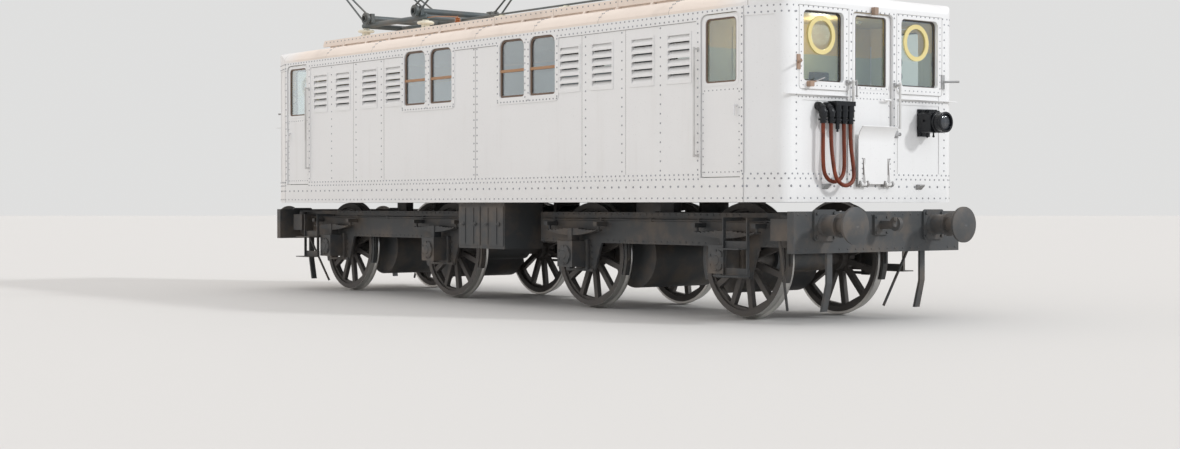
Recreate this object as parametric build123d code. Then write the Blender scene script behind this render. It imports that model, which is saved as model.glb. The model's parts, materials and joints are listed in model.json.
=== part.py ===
from build123d import *
import math
import os

# Box-cab electric locomotive with two powered bogies and two diamond pantographs.
# Millimetres. +X is forward, +Y left, +Z up. Heights below are above the rail head; the finished
# pieces are lifted by the flange depth, so that the flange tips stand on the floor.

# Body in plan
BODY_LENGTH = 11100
BODY_WIDTH = 3000
END_WIDTH = 2660
TAPER_LENGTH = 480
CORNER_RADIUS = 150
TAPER_RADIUS = 400
WALL = 60
SEAT_GAP = 0.3

# Heights
SKIRT_Z = 1300
FLOOR_Z = 1540
FLOOR_THICK = 40
EAVES_Z = 3420
BASE_BAND_Z = 1620
CORNICE_Z = 3310
BAND_THICK = 8
FRAME_MARGIN = 70
FRAME_LOW_MARGIN = 85

# Wheels and track
WHEEL_RADIUS = 650
FLANGE_DEPTH = 30
WHEEL_BACK = 680
TREAD_WIDTH = 135
AXLE_RADIUS = 90
JOURNAL_RADIUS = 65

# Bogies
BOGIE_PIVOT_X = 2950
WHEELBASE = 2800

# Buffers
BUFFER_HEIGHT = 1050
BUFFER_SPACING = 1750
BUFFER_HEAD_RADIUS = 200
BUFFER_LENGTH = 490
HEADSTOCK_THICK = 100
HEADSTOCK_GAP = 10

# Openings in the side walls: centre from mid-length, for one half
SIDE_WINDOW_X = (810, 1450)
SIDE_WINDOW_WIDTH = 530
SIDE_WINDOW_Z = (2630, 3365)
WINDOW_TOP_RADIUS = 110
WINDOW_LOW_RADIUS = 40
LOUVRE_X = (2000, 2630, 3370, 4010)
LOUVRE_WIDTH = 390
LOUVRE_Z = (2650, 3190)
LOUVRE_PITCH = 90
LOUVRE_PLATE = 8
LOUVRE_LIP = 16
LOUVRE_BORDER = 16

# Cab side doors
CAB_DOOR_FROM_END = 855
CAB_DOOR_WIDTH = 640
CAB_DOOR_Z = (1570, 3370)
CAB_DOOR_TOP_RADIUS = 90
DOOR_THICK = 44
DOOR_GAP = 8
DOOR_INSET = 10
GANGWAY_INSET = 30
DOOR_RIM = 35
DOOR_RIM_PROUD = 4
CAB_DOOR_GLASS_WIDTH = 500
CAB_DOOR_GLASS_Z = (2610, 3318)
HINGE_PIN = 7
HINGE_BARREL = 12
HINGE_OFFSET = (4, 18)
HINGE_BARREL_LENGTH = 70
HINGE_LUG = 25
HINGE_PLATE = 50
CAB_DOOR_HINGE_Z = (1850, 3000)
GANGWAY_HINGE_Z = (1850, 2480)

# End walls
GANGWAY_WIDTH = 660
GANGWAY_Z = (1560, 3395)
GANGWAY_TOP_RADIUS = 60
GANGWAY_GLASS_WIDTH = 500
GANGWAY_GLASS_Z = (2580, 3360)
END_WINDOW_Y = 775
END_WINDOW_WIDTH = 620
END_WINDOW_Z = (2605, 3365)
END_WINDOW_RADIUS = 60
GLASS_THICK = 8
CORNER_PLATE = (130, 225)
LEDGE_Y = (405, 1390)
LEDGE_Z = 2462
LEDGE_REACH = 45
LEDGE_FLANGE = 65

# Roof
ROOF_SHOULDER_Y = 1230
ROOF_SHOULDER_Z = 3600
ROOF_TOP_Z = 3700
ROOF_THICK = 40
ROOF_BROW_X = 150
ROOF_BROW_Z = 3580
ROOF_END_SLOPE = 1100
ROOF_EDGE_RISE = 20
ROOF_SIDE_BULGE = (95, 130)
ROOF_END_BULGE = (45, 110)
ROOF_TRIM = 5
RAISED_WIDTH = 2400
RAISED_LENGTH = 8900
RAISED_EDGE_Z = (3640, 3730)
RAISED_TOP_Z = 3830
RAISED_THICK = 30
RAISED_TIP = 110
RAISED_BRACKET_PITCH = 640

# Pantographs
PANTOGRAPH_X = 3350
SHAFT_Z = 4070
SHAFT_SPACING = 1360
SHAFT_HALF_WIDTH = 750
SHAFT_RADIUS = 50
SHAFT_TUBE = 8
LOWER_ARM = 1350
LOWER_ARM_ANGLE = 32
HEAD_PIVOT_SPACING = 400
UPPER_ARM = 1840
ARM_ROD_RADIUS = 14
ARM_ROD_GAP = 140
ARM_Y = 640
ELBOW_RADIUS = 18
UPPER_ARM_Y = 560
HEAD_LENGTH = 1500
HEAD_HEIGHT = 160
HORN_RADIUS = 210
HORN_TURN = 62
HORN_TIP = 60
STRIP_THICK = 20
STRIP_HALF = 25
INSULATOR_RADIUS = 125
PIN_GAP = 0.4
OPEN_PIVOT_GAP = 12

HALF_LENGTH = BODY_LENGTH / 2
HALF_WIDTH = BODY_WIDTH / 2
END_HALF = END_WIDTH / 2
AXLE_Z = WHEEL_RADIUS
FLOOR_LOW = FLOOR_Z - FLOOR_THICK
HEADSTOCK_X = (HALF_LENGTH + HEADSTOCK_GAP, HALF_LENGTH + HEADSTOCK_GAP + HEADSTOCK_THICK)
BUFFER_TIP_X = HEADSTOCK_X[1] + BUFFER_LENGTH
CAB_DOOR_X = HALF_LENGTH - CAB_DOOR_FROM_END
BEYOND = 2 * BODY_LENGTH


def block(x, y, z):
    """A box given by its low and high value along each axis."""
    size = (x[1] - x[0], y[1] - y[0], z[1] - z[0])
    middle = ((x[0] + x[1]) / 2, (y[0] + y[1]) / 2, (z[0] + z[1]) / 2)
    return Pos(*middle) * Box(*size)


def rod(start, end, radius):
    """A round bar between two points."""
    way = Vector(*end) - Vector(*start)
    return extrude(Plane(origin=start, z_dir=way.normalized()) * Circle(radius), way.length)


def turned(shape):
    """The same shape at the other end of the locomotive."""
    return Rot(0, 0, 180) * shape


def both_ends(shape):
    return [shape, turned(shape)]


def keep(name, *shapes):
    """Lift the solids of one piece onto the flange tips and write them."""
    solids = []
    for shape in shapes:
        solids += shape.solids()
    piece = Compound(children=[Pos(0, 0, FLANGE_DEPTH) * solid for solid in solids])
    export_step(piece, f"parts/{name}.step")


# Body shell

def body_plan(grow=0):
    """The body's outline in plan, moved outwards by grow."""
    taper_start = HALF_LENGTH - TAPER_LENGTH
    corners = [
        (HALF_LENGTH, END_HALF),
        (taper_start, HALF_WIDTH),
        (-taper_start, HALF_WIDTH),
        (-HALF_LENGTH, END_HALF),
        (-HALF_LENGTH, -END_HALF),
        (-taper_start, -HALF_WIDTH),
        (taper_start, -HALF_WIDTH),
        (HALF_LENGTH, -END_HALF),
    ]
    plan = make_face(Polyline(*corners, close=True))
    ends = plan.vertices().filter_by(lambda v: abs(v.X) > taper_start + 1)
    plan = fillet(ends, CORNER_RADIUS)
    tapers = plan.vertices().filter_by(lambda v: abs(v.X) < taper_start + 1)
    plan = fillet(tapers, TAPER_RADIUS)
    if grow:
        plan = offset(plan, amount=grow)
    return plan


def plan_prism(grow, low, high):
    return Pos(0, 0, low) * extrude(body_plan(grow), high - low)


def rounded_pane(width, height, top_radius, low_radius):
    """A pane in its own plane, with its upper and lower corners rounded where a radius is given."""
    pane = Rectangle(width, height)
    if top_radius:
        pane = fillet(pane.vertices().sort_by(Axis.Y)[-2:], top_radius)
    if low_radius:
        pane = fillet(pane.vertices().sort_by(Axis.Y)[:2], low_radius)
    return pane


def side_pane(x, width, z, top_radius, low_radius, y):
    """A rounded pane at a place on the side, extruded between two y values."""
    pane = rounded_pane(width, z[1] - z[0], top_radius, low_radius)
    plane = Plane(origin=(x, y[0], (z[0] + z[1]) / 2), x_dir=(-1, 0, 0), z_dir=(0, 1, 0))
    return extrude(plane * pane, y[1] - y[0])


def end_pane(y, width, z, top_radius, low_radius, x):
    """A rounded pane at a place on the end, extruded between two x values."""
    pane = rounded_pane(width, z[1] - z[0], top_radius, low_radius)
    plane = Plane(origin=(x[0], y, (z[0] + z[1]) / 2), x_dir=(0, 1, 0), z_dir=(1, 0, 0))
    return extrude(plane * pane, x[1] - x[0])


def body_shell():
    """Walls with their riveted bands and cover plates, before they are split into panels."""
    walls = plan_prism(0, SKIRT_Z, EAVES_Z)
    proud = plan_prism(BAND_THICK, SKIRT_Z, EAVES_Z)
    walls += proud & block((-BEYOND, BEYOND), (-BEYOND, BEYOND),
                           (SKIRT_Z, BASE_BAND_Z))
    walls += proud & block((-BEYOND, BEYOND), (-BEYOND, BEYOND),
                           (CORNICE_Z, EAVES_Z))
    for end in (-1, 1):
        corner_x = sorted((end * (HALF_LENGTH - CORNER_PLATE[0]), end * (HALF_LENGTH + 20)))
        for side in (-1, 1):
            corner_y = sorted((side * (END_HALF - CORNER_PLATE[1]), side * (END_HALF + 100)))
            walls += proud & block(corner_x, corner_y, (SKIRT_Z, EAVES_Z))
    return walls - plan_prism(-WALL, SKIRT_Z - 1, EAVES_Z + 1)


def side_cover_plates(side):
    """Proud plates round the side windows and the cab doors."""
    y = (HALF_WIDTH - 1, HALF_WIDTH + BAND_THICK) if side > 0 else (-HALF_WIDTH - BAND_THICK, 1 - HALF_WIDTH)
    first, last = SIDE_WINDOW_X
    width = last - first + SIDE_WINDOW_WIDTH + 2 * FRAME_MARGIN
    low = SIDE_WINDOW_Z[0] - FRAME_LOW_MARGIN
    joint_x = HALF_LENGTH - TAPER_LENGTH - SEAT_GAP / 2
    door_low_x = CAB_DOOR_X - CAB_DOOR_WIDTH / 2 - FRAME_MARGIN
    plates = []
    for end in (-1, 1):
        plates.append(side_pane(end * (first + last) / 2, width, (low, EAVES_Z), 0, FRAME_MARGIN, y))
        plates.append(block(sorted((end * door_low_x, end * joint_x)), y, (SKIRT_Z, EAVES_Z)))
    return plates


def end_cover_plates():
    """Proud plates round the front windows and the gangway door, and the drip ledges."""
    x = (HALF_LENGTH - 1, HALF_LENGTH + BAND_THICK)
    half = GANGWAY_WIDTH / 2 + FRAME_MARGIN
    plates = [block(x, (-half, half), (SKIRT_Z, EAVES_Z))]
    for side in (-1, 1):
        low = END_WINDOW_Z[0] - FRAME_LOW_MARGIN
        width = END_WINDOW_WIDTH + 2 * FRAME_MARGIN
        plates.append(end_pane(side * END_WINDOW_Y, width, (low, EAVES_Z), 0, FRAME_MARGIN, x))
        y = sorted((side * LEDGE_Y[0], side * LEDGE_Y[1]))
        plates.append(block((HALF_LENGTH - 1, HALF_LENGTH + LEDGE_REACH), y, (LEDGE_Z - BAND_THICK, LEDGE_Z)))
        y = sorted((side * LEDGE_Y[0], side * (END_HALF - CORNER_RADIUS)))
        plates.append(block(x, y, (LEDGE_Z - LEDGE_FLANGE, LEDGE_Z)))
    return plates


def hinge_lugs(x, y, plate_x, plate_y, heights):
    """Pins of a door's hinges, each held by a lug above and one below the door's barrel."""
    lugs = None
    half = HINGE_BARREL_LENGTH / 2
    for z in heights:
        ends = (z - half - HINGE_LUG, z + half + HINGE_LUG)
        lug = rod((x, y, ends[0]), (x, y, ends[1]), HINGE_PIN)
        for low in (ends[0], ends[1] - HINGE_LUG + 1):
            lug += rod((x, y, low), (x, y, low + HINGE_LUG - 1), HINGE_BARREL)
            lug += block(plate_x, plate_y, (low, low + HINGE_LUG - 1))
        lugs = lug if lugs is None else lugs + lug
    return lugs


def side_wall(shell, side):
    """The long side plate of one side, with its windows, louvre and door openings."""
    joint_x = HALF_LENGTH - TAPER_LENGTH - SEAT_GAP / 2
    reach = HALF_WIDTH + BAND_THICK + 1
    span = (HALF_WIDTH - WALL - 20, reach) if side > 0 else (-reach, -HALF_WIDTH + WALL + 20)
    wall = shell & block((-joint_x, joint_x), span, (SKIRT_Z, EAVES_Z))
    for plate in side_cover_plates(side):
        wall += plate
    for end in (-1, 1):
        for x in SIDE_WINDOW_X:
            wall -= side_pane(end * x, SIDE_WINDOW_WIDTH, SIDE_WINDOW_Z, WINDOW_TOP_RADIUS,
                              WINDOW_LOW_RADIUS, span)
        for x in LOUVRE_X:
            wall -= block((end * x - LOUVRE_WIDTH / 2, end * x + LOUVRE_WIDTH / 2), span, LOUVRE_Z)
        wall -= side_pane(end * CAB_DOOR_X, CAB_DOOR_WIDTH, CAB_DOOR_Z, CAB_DOOR_TOP_RADIUS, 0, span)
    hinge_x = CAB_DOOR_X - CAB_DOOR_WIDTH / 2 + DOOR_GAP - HINGE_OFFSET[0]
    hinge_y = HALF_WIDTH - DOOR_INSET - DOOR_THICK - HINGE_OFFSET[1]
    lugs = hinge_lugs(hinge_x, hinge_y, (hinge_x - HINGE_PLATE, hinge_x),
                      (hinge_y - HINGE_BARREL, HALF_WIDTH - WALL), CAB_DOOR_HINGE_Z)
    if side < 0:
        lugs = mirror(lugs, about=Plane.XZ)
    return wall + lugs + mirror(lugs, about=Plane.YZ)


def end_wall(shell):
    """The front end: flat end plate with the tapered corner plates."""
    joint_x = HALF_LENGTH - TAPER_LENGTH + SEAT_GAP / 2
    reach = HALF_WIDTH + BAND_THICK + 1
    wall = shell & block((joint_x, HALF_LENGTH + BAND_THICK + 1), (-reach, reach), (SKIRT_Z, EAVES_Z))
    for plate in end_cover_plates():
        wall += plate
    through = (HALF_LENGTH - WALL - 1, HALF_LENGTH + BAND_THICK + 1)
    for side in (-1, 1):
        wall -= end_pane(side * END_WINDOW_Y, END_WINDOW_WIDTH, END_WINDOW_Z, END_WINDOW_RADIUS,
                         WINDOW_LOW_RADIUS, through)
    wall -= end_pane(0, GANGWAY_WIDTH, GANGWAY_Z, GANGWAY_TOP_RADIUS, 0, through)
    hinge_x = HALF_LENGTH - GANGWAY_INSET - DOOR_THICK - HINGE_OFFSET[1]
    hinge_y = -GANGWAY_WIDTH / 2 + DOOR_GAP - HINGE_OFFSET[0]
    lugs = hinge_lugs(hinge_x, hinge_y, (hinge_x - HINGE_BARREL, HALF_LENGTH - WALL),
                      (hinge_y - HINGE_PLATE, hinge_y), GANGWAY_HINGE_Z)
    return wall + lugs


def louvre_columns():
    """Each column is a frame in its opening with hooded blades that lap one another."""
    columns = []
    count = round((LOUVRE_Z[1] - LOUVRE_Z[0]) / LOUVRE_PITCH)
    outer = HALF_WIDTH + BAND_THICK
    inner = HALF_WIDTH - WALL / 2
    clear = LOUVRE_WIDTH / 2 - SEAT_GAP
    low = LOUVRE_Z[0] + SEAT_GAP
    high = LOUVRE_Z[1] - SEAT_GAP
    rise = LOUVRE_PITCH * 0.8
    hood = Polyline((inner, rise), (inner, rise + LOUVRE_PLATE), (outer, LOUVRE_LIP + LOUVRE_PLATE), (outer, 0),
                    (outer - LOUVRE_PLATE, 0), (outer - LOUVRE_PLATE, LOUVRE_LIP), close=True)
    blade = extrude(Plane.YZ * make_face(hood), clear - LOUVRE_PLATE / 2, both=True)
    column = block((-clear, clear), (inner, outer), (low, high))
    border_x = LOUVRE_WIDTH / 2 + LOUVRE_BORDER
    column += block((-border_x, border_x), (HALF_WIDTH + SEAT_GAP, outer),
                    (LOUVRE_Z[0] - LOUVRE_BORDER, LOUVRE_Z[1] + LOUVRE_BORDER))
    column -= block((-clear + LOUVRE_PLATE, clear - LOUVRE_PLATE), (inner - 1, outer + 1),
                    (low + LOUVRE_PLATE, high - LOUVRE_PLATE))
    for row in range(count):
        column += (Pos(0, 0, LOUVRE_Z[0] + LOUVRE_PLATE / 2 + row * LOUVRE_PITCH) * blade) & block(
            (-clear, clear), (inner, outer), (low + 1, high - 1))
    for end in (-1, 1):
        for x in LOUVRE_X:
            place = Pos(end * x, 0, 0) * column
            columns += [place, turned(place)]
    return columns


def roof_form(shrink, low):
    """Section across, profile along and plan of the roof, met together and cut off at low."""
    top = ROOF_TOP_Z - shrink
    rise = ROOF_EDGE_RISE + EAVES_Z
    shoulder = (ROOF_SHOULDER_Y - shrink, ROOF_SHOULDER_Z - shrink)
    brow = (HALF_LENGTH - ROOF_BROW_X - shrink, ROOF_BROW_Z - shrink)
    side = HALF_WIDTH + BAND_THICK + ROOF_TRIM - shrink
    end = HALF_LENGTH + BAND_THICK + ROOF_TRIM - shrink
    side_bulge = (side - ROOF_SIDE_BULGE[0], EAVES_Z + ROOF_SIDE_BULGE[1] - shrink / 2)
    end_bulge = (end - ROOF_END_BULGE[0], EAVES_Z + ROOF_END_BULGE[1] - shrink / 2)
    slope = HALF_LENGTH - ROOF_END_SLOPE
    across = [
        Line((-side, low), (side, low)),
        Line((side, low), (side, rise)),
        ThreePointArc((side, rise), side_bulge, shoulder),
        ThreePointArc(shoulder, (0, top), (-shoulder[0], shoulder[1])),
        ThreePointArc((-shoulder[0], shoulder[1]), (-side_bulge[0], side_bulge[1]), (-side, rise)),
        Line((-side, rise), (-side, low)),
    ]
    along = [
        Line((-end, low), (end, low)),
        Line((end, low), (end, rise)),
        ThreePointArc((end, rise), end_bulge, brow),
        Line(brow, (slope, top)),
        Line((slope, top), (-slope, top)),
        Line((-slope, top), (-brow[0], brow[1])),
        ThreePointArc((-brow[0], brow[1]), (-end_bulge[0], end_bulge[1]), (-end, rise)),
        Line((-end, rise), (-end, low)),
    ]
    section = extrude(Plane.YZ * make_face(across), HALF_LENGTH + 2 * BAND_THICK, both=True)
    profile = extrude(Plane.XZ * make_face(along), HALF_WIDTH + 2 * BAND_THICK, both=True)
    return section & profile & plan_prism(BAND_THICK - shrink, low + 1, ROOF_TOP_Z + 1)


def roof():
    """Roof shell on top of the walls."""
    outside = roof_form(0, EAVES_Z - 1)
    inside = roof_form(ROOF_THICK, EAVES_Z - 10)
    return Pos(0, 0, SEAT_GAP) * (outside - inside)


def raised_roof():
    """The lifted centre roof with turned-down edges, carried on small feet."""
    half = RAISED_WIDTH / 2
    low, edge_top = RAISED_EDGE_Z
    inner = half - RAISED_THICK
    outline = [
        Line((half, low), (half, edge_top)),
        ThreePointArc((half, edge_top), (0, RAISED_TOP_Z), (-half, edge_top)),
        Line((-half, edge_top), (-half, low)),
        Line((-half, low), (-inner, low)),
        Line((-inner, low), (-inner, edge_top - RAISED_THICK)),
        ThreePointArc((-inner, edge_top - RAISED_THICK), (0, RAISED_TOP_Z - RAISED_THICK),
                      (inner, edge_top - RAISED_THICK)),
        Line((inner, edge_top - RAISED_THICK), (inner, low)),
        Line((inner, low), (half, low)),
    ]
    cover = extrude(Plane.YZ * make_face(outline), RAISED_LENGTH / 2, both=True)
    end = RAISED_LENGTH / 2
    side = Polyline((-end, low), (end, low), (end, low + RAISED_THICK), (end - RAISED_TIP, RAISED_TOP_Z + 1),
                    (RAISED_TIP - end, RAISED_TOP_Z + 1), (-end, low + RAISED_THICK), close=True)
    return cover & extrude(Plane.XZ * make_face(side), half + 1, both=True)


# Reach of a foot's toe beyond the raised roof's edge at the top and at the bottom
FOOT_TOE = (10, 70)
FOOT_SUNK = 60


def roof_feet(roof_solid):
    """Feet between the raised roof's edges and the roof below."""
    feet = []
    half = RAISED_WIDTH / 2
    count = int(RAISED_LENGTH / RAISED_BRACKET_PITCH)
    first = -(count - 1) / 2 * RAISED_BRACKET_PITCH
    top = RAISED_EDGE_Z[0] - SEAT_GAP
    low = ROOF_SHOULDER_Z - FOOT_SUNK
    inner = half - RAISED_THICK
    outline = Polyline((inner, top), (half + FOOT_TOE[0], top), (half + FOOT_TOE[1], low), (inner, low),
                       close=True)
    foot = extrude(Plane.YZ * make_face(outline), 20, both=True)
    for index in range(count):
        for side in (0, 180):
            place = Pos(first + index * RAISED_BRACKET_PITCH, 0, 0) * foot
            feet.append((Rot(0, 0, side) * place) - roof_solid)
    return feet


# Doors

GLASS_TOP_RADIUS = 60
RIM_RADII = (90, 60)
HINGE_STRAP = 70
HINGE_STRAP_THICK = 8
HANDLE_RADIUS = 12
# Door handles: distance from the leaf's edge, height, reach, low end of the cab door's grip
CAB_HANDLE = (60, 2350, 40, 2240)
GANGWAY_HANDLE = (50, 2440, 45)
GANGWAY_HANDLE_SPAN = (38, 150)
GANGWAY_GLASS_RADII = (40, 20)
GANGWAY_RIM_RADII = (50, 40)


def door_hinge(leaf, pin, leaf_edge, heights, strap):
    """The door's barrels with their straps, bored for the pins."""
    for z in heights:
        span = (z - HINGE_BARREL_LENGTH / 2, z + HINGE_BARREL_LENGTH / 2)
        leaf += rod((*pin, span[0]), (*pin, span[1]), HINGE_BARREL)
        for x, y in strap(pin, leaf_edge):
            leaf += block(x, y, span)
        leaf -= rod((*pin, span[0] - 1), (*pin, span[1] + 1), HINGE_PIN + PIN_GAP)
    return leaf


def cab_door():
    """Front door of the left side, closed. Its hinge is at its rear edge, on the inside."""
    low_x = CAB_DOOR_X - CAB_DOOR_WIDTH / 2 + DOOR_GAP
    high_x = CAB_DOOR_X + CAB_DOOR_WIDTH / 2 - DOOR_GAP
    outer = HALF_WIDTH - DOOR_INSET
    y = (outer - DOOR_THICK, outer)
    leaf = side_pane(CAB_DOOR_X, high_x - low_x, (CAB_DOOR_Z[0] + DOOR_GAP, CAB_DOOR_Z[1] - DOOR_GAP),
                     CAB_DOOR_TOP_RADIUS - DOOR_GAP, 0, y)
    glass_y = (outer - DOOR_THICK / 2 - GLASS_THICK / 2, outer - DOOR_THICK / 2 + GLASS_THICK / 2)
    glass = side_pane(CAB_DOOR_X, CAB_DOOR_GLASS_WIDTH - 2 * SEAT_GAP,
                      (CAB_DOOR_GLASS_Z[0] + SEAT_GAP, CAB_DOOR_GLASS_Z[1] - SEAT_GAP), GLASS_TOP_RADIUS,
                      WINDOW_LOW_RADIUS, glass_y)
    leaf += side_pane(CAB_DOOR_X, CAB_DOOR_GLASS_WIDTH + 2 * DOOR_RIM,
                      (CAB_DOOR_GLASS_Z[0] - DOOR_RIM, CAB_DOOR_GLASS_Z[1] + DOOR_RIM), *RIM_RADII,
                      (outer - 1, outer + DOOR_RIM_PROUD))
    leaf -= side_pane(CAB_DOOR_X, CAB_DOOR_GLASS_WIDTH, CAB_DOOR_GLASS_Z, GLASS_TOP_RADIUS, WINDOW_LOW_RADIUS,
                      (y[0] - 1, outer + DOOR_RIM_PROUD + 1))

    def strap(pin, edge):
        back = pin[1] + HINGE_BARREL
        return [((edge, edge + HINGE_STRAP), (back - HINGE_STRAP_THICK, y[0])),
                ((pin[0], edge + HINGE_STRAP_THICK), (back - HINGE_STRAP_THICK, back))]

    pin = (low_x - HINGE_OFFSET[0], y[0] - HINGE_OFFSET[1])
    leaf = door_hinge(leaf, pin, low_x, CAB_DOOR_HINGE_Z, strap)
    inset, z, reach, grip_low = CAB_HANDLE
    x = high_x - inset
    leaf += rod((x, outer - 2, z), (x, outer + reach, z), HANDLE_RADIUS)
    leaf += rod((x, outer + reach, z + HANDLE_RADIUS), (x, outer + reach, grip_low), HANDLE_RADIUS)
    return leaf, glass


def gangway_door():
    """Front gangway door, closed. Its hinge is at its right edge, on the inside."""
    half = GANGWAY_WIDTH / 2 - DOOR_GAP
    outer = HALF_LENGTH - GANGWAY_INSET
    x = (outer - DOOR_THICK, outer)
    leaf = end_pane(0, 2 * half, (GANGWAY_Z[0] + DOOR_GAP, GANGWAY_Z[1] - DOOR_GAP),
                    GANGWAY_TOP_RADIUS - DOOR_GAP, 0, x)
    rim_top = min(GANGWAY_GLASS_Z[1] + DOOR_RIM, GANGWAY_Z[1] - 2 * DOOR_GAP)
    rim_z = (GANGWAY_GLASS_Z[0] - DOOR_RIM, rim_top)
    leaf += end_pane(0, GANGWAY_GLASS_WIDTH + 2 * DOOR_RIM, rim_z, *GANGWAY_RIM_RADII,
                     (outer - 1, outer + DOOR_RIM_PROUD))
    leaf -= end_pane(0, GANGWAY_GLASS_WIDTH, GANGWAY_GLASS_Z, *GANGWAY_GLASS_RADII,
                     (x[0] - 1, outer + DOOR_RIM_PROUD + 1))

    def strap(pin, edge):
        back = pin[0] + HINGE_BARREL
        return [((back - HINGE_STRAP_THICK, x[0]), (edge, edge + HINGE_STRAP)),
                ((back - HINGE_STRAP_THICK, back), (pin[1], edge + HINGE_STRAP_THICK))]

    pin = (x[0] - HINGE_OFFSET[1], -half - HINGE_OFFSET[0])
    leaf = door_hinge(leaf, pin, -half, GANGWAY_HINGE_Z, strap)
    glass_x = (outer - DOOR_THICK / 2 - GLASS_THICK / 2, outer - DOOR_THICK / 2 + GLASS_THICK / 2)
    glass = end_pane(0, GANGWAY_GLASS_WIDTH - 2 * SEAT_GAP,
                     (GANGWAY_GLASS_Z[0] + SEAT_GAP, GANGWAY_GLASS_Z[1] - SEAT_GAP), *GANGWAY_GLASS_RADII,
                     glass_x)
    inset, z, reach = GANGWAY_HANDLE
    leaf += rod((outer - 2, half - inset, z), (outer + reach, half - inset, z), HANDLE_RADIUS)
    near, far = GANGWAY_HANDLE_SPAN
    leaf += rod((outer + reach, half - near, z), (outer + reach, half - far, z), HANDLE_RADIUS)
    return leaf, glass


PLATE_WIDTH = 570
PLATE_HINGE_Z = 1500
PLATE_TOP_Z = 2140
PLATE_HINGE_X = HALF_LENGTH + 50
PLATE_THICK = 10
PLATE_CURL = 250
PLATE_CURL_TURN = 45
PLATE_RIB_Y = 200
PLATE_RIB_TOP = 1790
HINGE_PIN_RADIUS = 14
LUG_SPREAD = 60
LUG_HALF = 12
LUG_RADIUS = 30


def gangway_plate():
    """Fall plate, folded up in front of the gangway door, with its curled tip."""
    x = PLATE_HINGE_X
    turn = math.radians(PLATE_CURL_TURN)
    curl_z = PLATE_TOP_Z - PLATE_CURL * math.sin(turn)
    middle = (x + PLATE_CURL, curl_z)

    def on_curl(radius, share):
        return (middle[0] - radius * math.cos(turn * share), middle[1] + radius * math.sin(turn * share))

    inner = PLATE_CURL - PLATE_THICK
    outline = [
        Line((x, PLATE_HINGE_Z), (x, curl_z)),
        ThreePointArc((x, curl_z), on_curl(PLATE_CURL, 0.5), on_curl(PLATE_CURL, 1)),
        Line(on_curl(PLATE_CURL, 1), on_curl(inner, 1)),
        ThreePointArc(on_curl(inner, 1), on_curl(inner, 0.5), on_curl(inner, 0)),
        Line(on_curl(inner, 0), (x + PLATE_THICK, PLATE_HINGE_Z)),
        Line((x + PLATE_THICK, PLATE_HINGE_Z), (x, PLATE_HINGE_Z)),
    ]
    plate = extrude(Plane.XZ * make_face(outline), PLATE_WIDTH / 2, both=True)
    for side in (-1, 1):
        y = side * PLATE_RIB_Y
        rib = Polyline((x + 1, PLATE_HINGE_Z), (x + 45, PLATE_HINGE_Z + 10), (x + 35, PLATE_HINGE_Z + 90),
                       (x + PLATE_THICK, PLATE_RIB_TOP), (x + 1, PLATE_RIB_TOP), close=True)
        plate += Pos(0, y, 0) * extrude(Plane.XZ * make_face(rib), 6, both=True)
        plate += rod((x, y - 40, PLATE_HINGE_Z), (x, y + 40, PLATE_HINGE_Z), HINGE_PIN_RADIUS + 10)
        plate -= rod((x, y - LUG_SPREAD - 20, PLATE_HINGE_Z), (x, y + LUG_SPREAD + 20, PLATE_HINGE_Z),
                     HINGE_PIN_RADIUS + PIN_GAP)
        for ear in (-1, 1):
            ear_y = y + ear * LUG_SPREAD
            plate -= block((x - 1, x + PLATE_THICK + 1), (ear_y - LUG_HALF - 5, ear_y + LUG_HALF + 5),
                           (PLATE_HINGE_Z - 1, PLATE_HINGE_Z + LUG_RADIUS + 6))
    return plate


PLATE_PIN_HALF = 75


def plate_hinges():
    """Lugs on the end wall that hold the fall plate's hinge pins."""
    lugs = []
    face = HALF_LENGTH + BAND_THICK + SEAT_GAP
    for side in (-1, 1):
        y = side * PLATE_RIB_Y
        x, z = PLATE_HINGE_X, PLATE_HINGE_Z
        lug = rod((x, y - PLATE_PIN_HALF, z), (x, y + PLATE_PIN_HALF, z), HINGE_PIN_RADIUS)
        for ear in (-1, 1):
            span = (y + ear * LUG_SPREAD - LUG_HALF, y + ear * LUG_SPREAD + LUG_HALF)
            lug += block((face, x), span, (z - LUG_RADIUS, z + LUG_RADIUS))
            lug += rod((x, span[0], z), (x, span[1], z), LUG_RADIUS)
        lugs.append(lug)
    return lugs


# Body fittings

def body_glass():
    panes = []
    y = (HALF_WIDTH - WALL / 2 - GLASS_THICK / 2, HALF_WIDTH - WALL / 2 + GLASS_THICK / 2)
    clear_z = (SIDE_WINDOW_Z[0] + SEAT_GAP, SIDE_WINDOW_Z[1] - SEAT_GAP)
    for end in (-1, 1):
        for x in SIDE_WINDOW_X:
            pane = side_pane(end * x, SIDE_WINDOW_WIDTH - 2 * SEAT_GAP, clear_z, WINDOW_TOP_RADIUS,
                             WINDOW_LOW_RADIUS, y)
            panes += [pane, turned(pane)]
    x = (HALF_LENGTH - WALL + 4, HALF_LENGTH - WALL + 4 + GLASS_THICK)
    clear_z = (END_WINDOW_Z[0] + SEAT_GAP, END_WINDOW_Z[1] - SEAT_GAP)
    for side in (-1, 1):
        pane = end_pane(side * END_WINDOW_Y, END_WINDOW_WIDTH - 2 * SEAT_GAP, clear_z, END_WINDOW_RADIUS,
                        WINDOW_LOW_RADIUS, x)
        panes += [pane, turned(pane)]
    return panes


RING_RADIUS = 209
RING_WIDTH = 50
RING_Y = 765
RING_Z = 3110


def sight_rings():
    """Pale rings mounted on the outside of the end windows' glass."""
    rings = []
    x = HALF_LENGTH - WALL + 4 + GLASS_THICK + SEAT_GAP
    for side in (-1, 1):
        start = (x, side * RING_Y, RING_Z)
        end = (x + 14, side * RING_Y, RING_Z)
        ring = rod(start, end, RING_RADIUS) - rod(start, end, RING_RADIUS - RING_WIDTH)
        rings += [ring, turned(ring)]
    return rings


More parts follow.
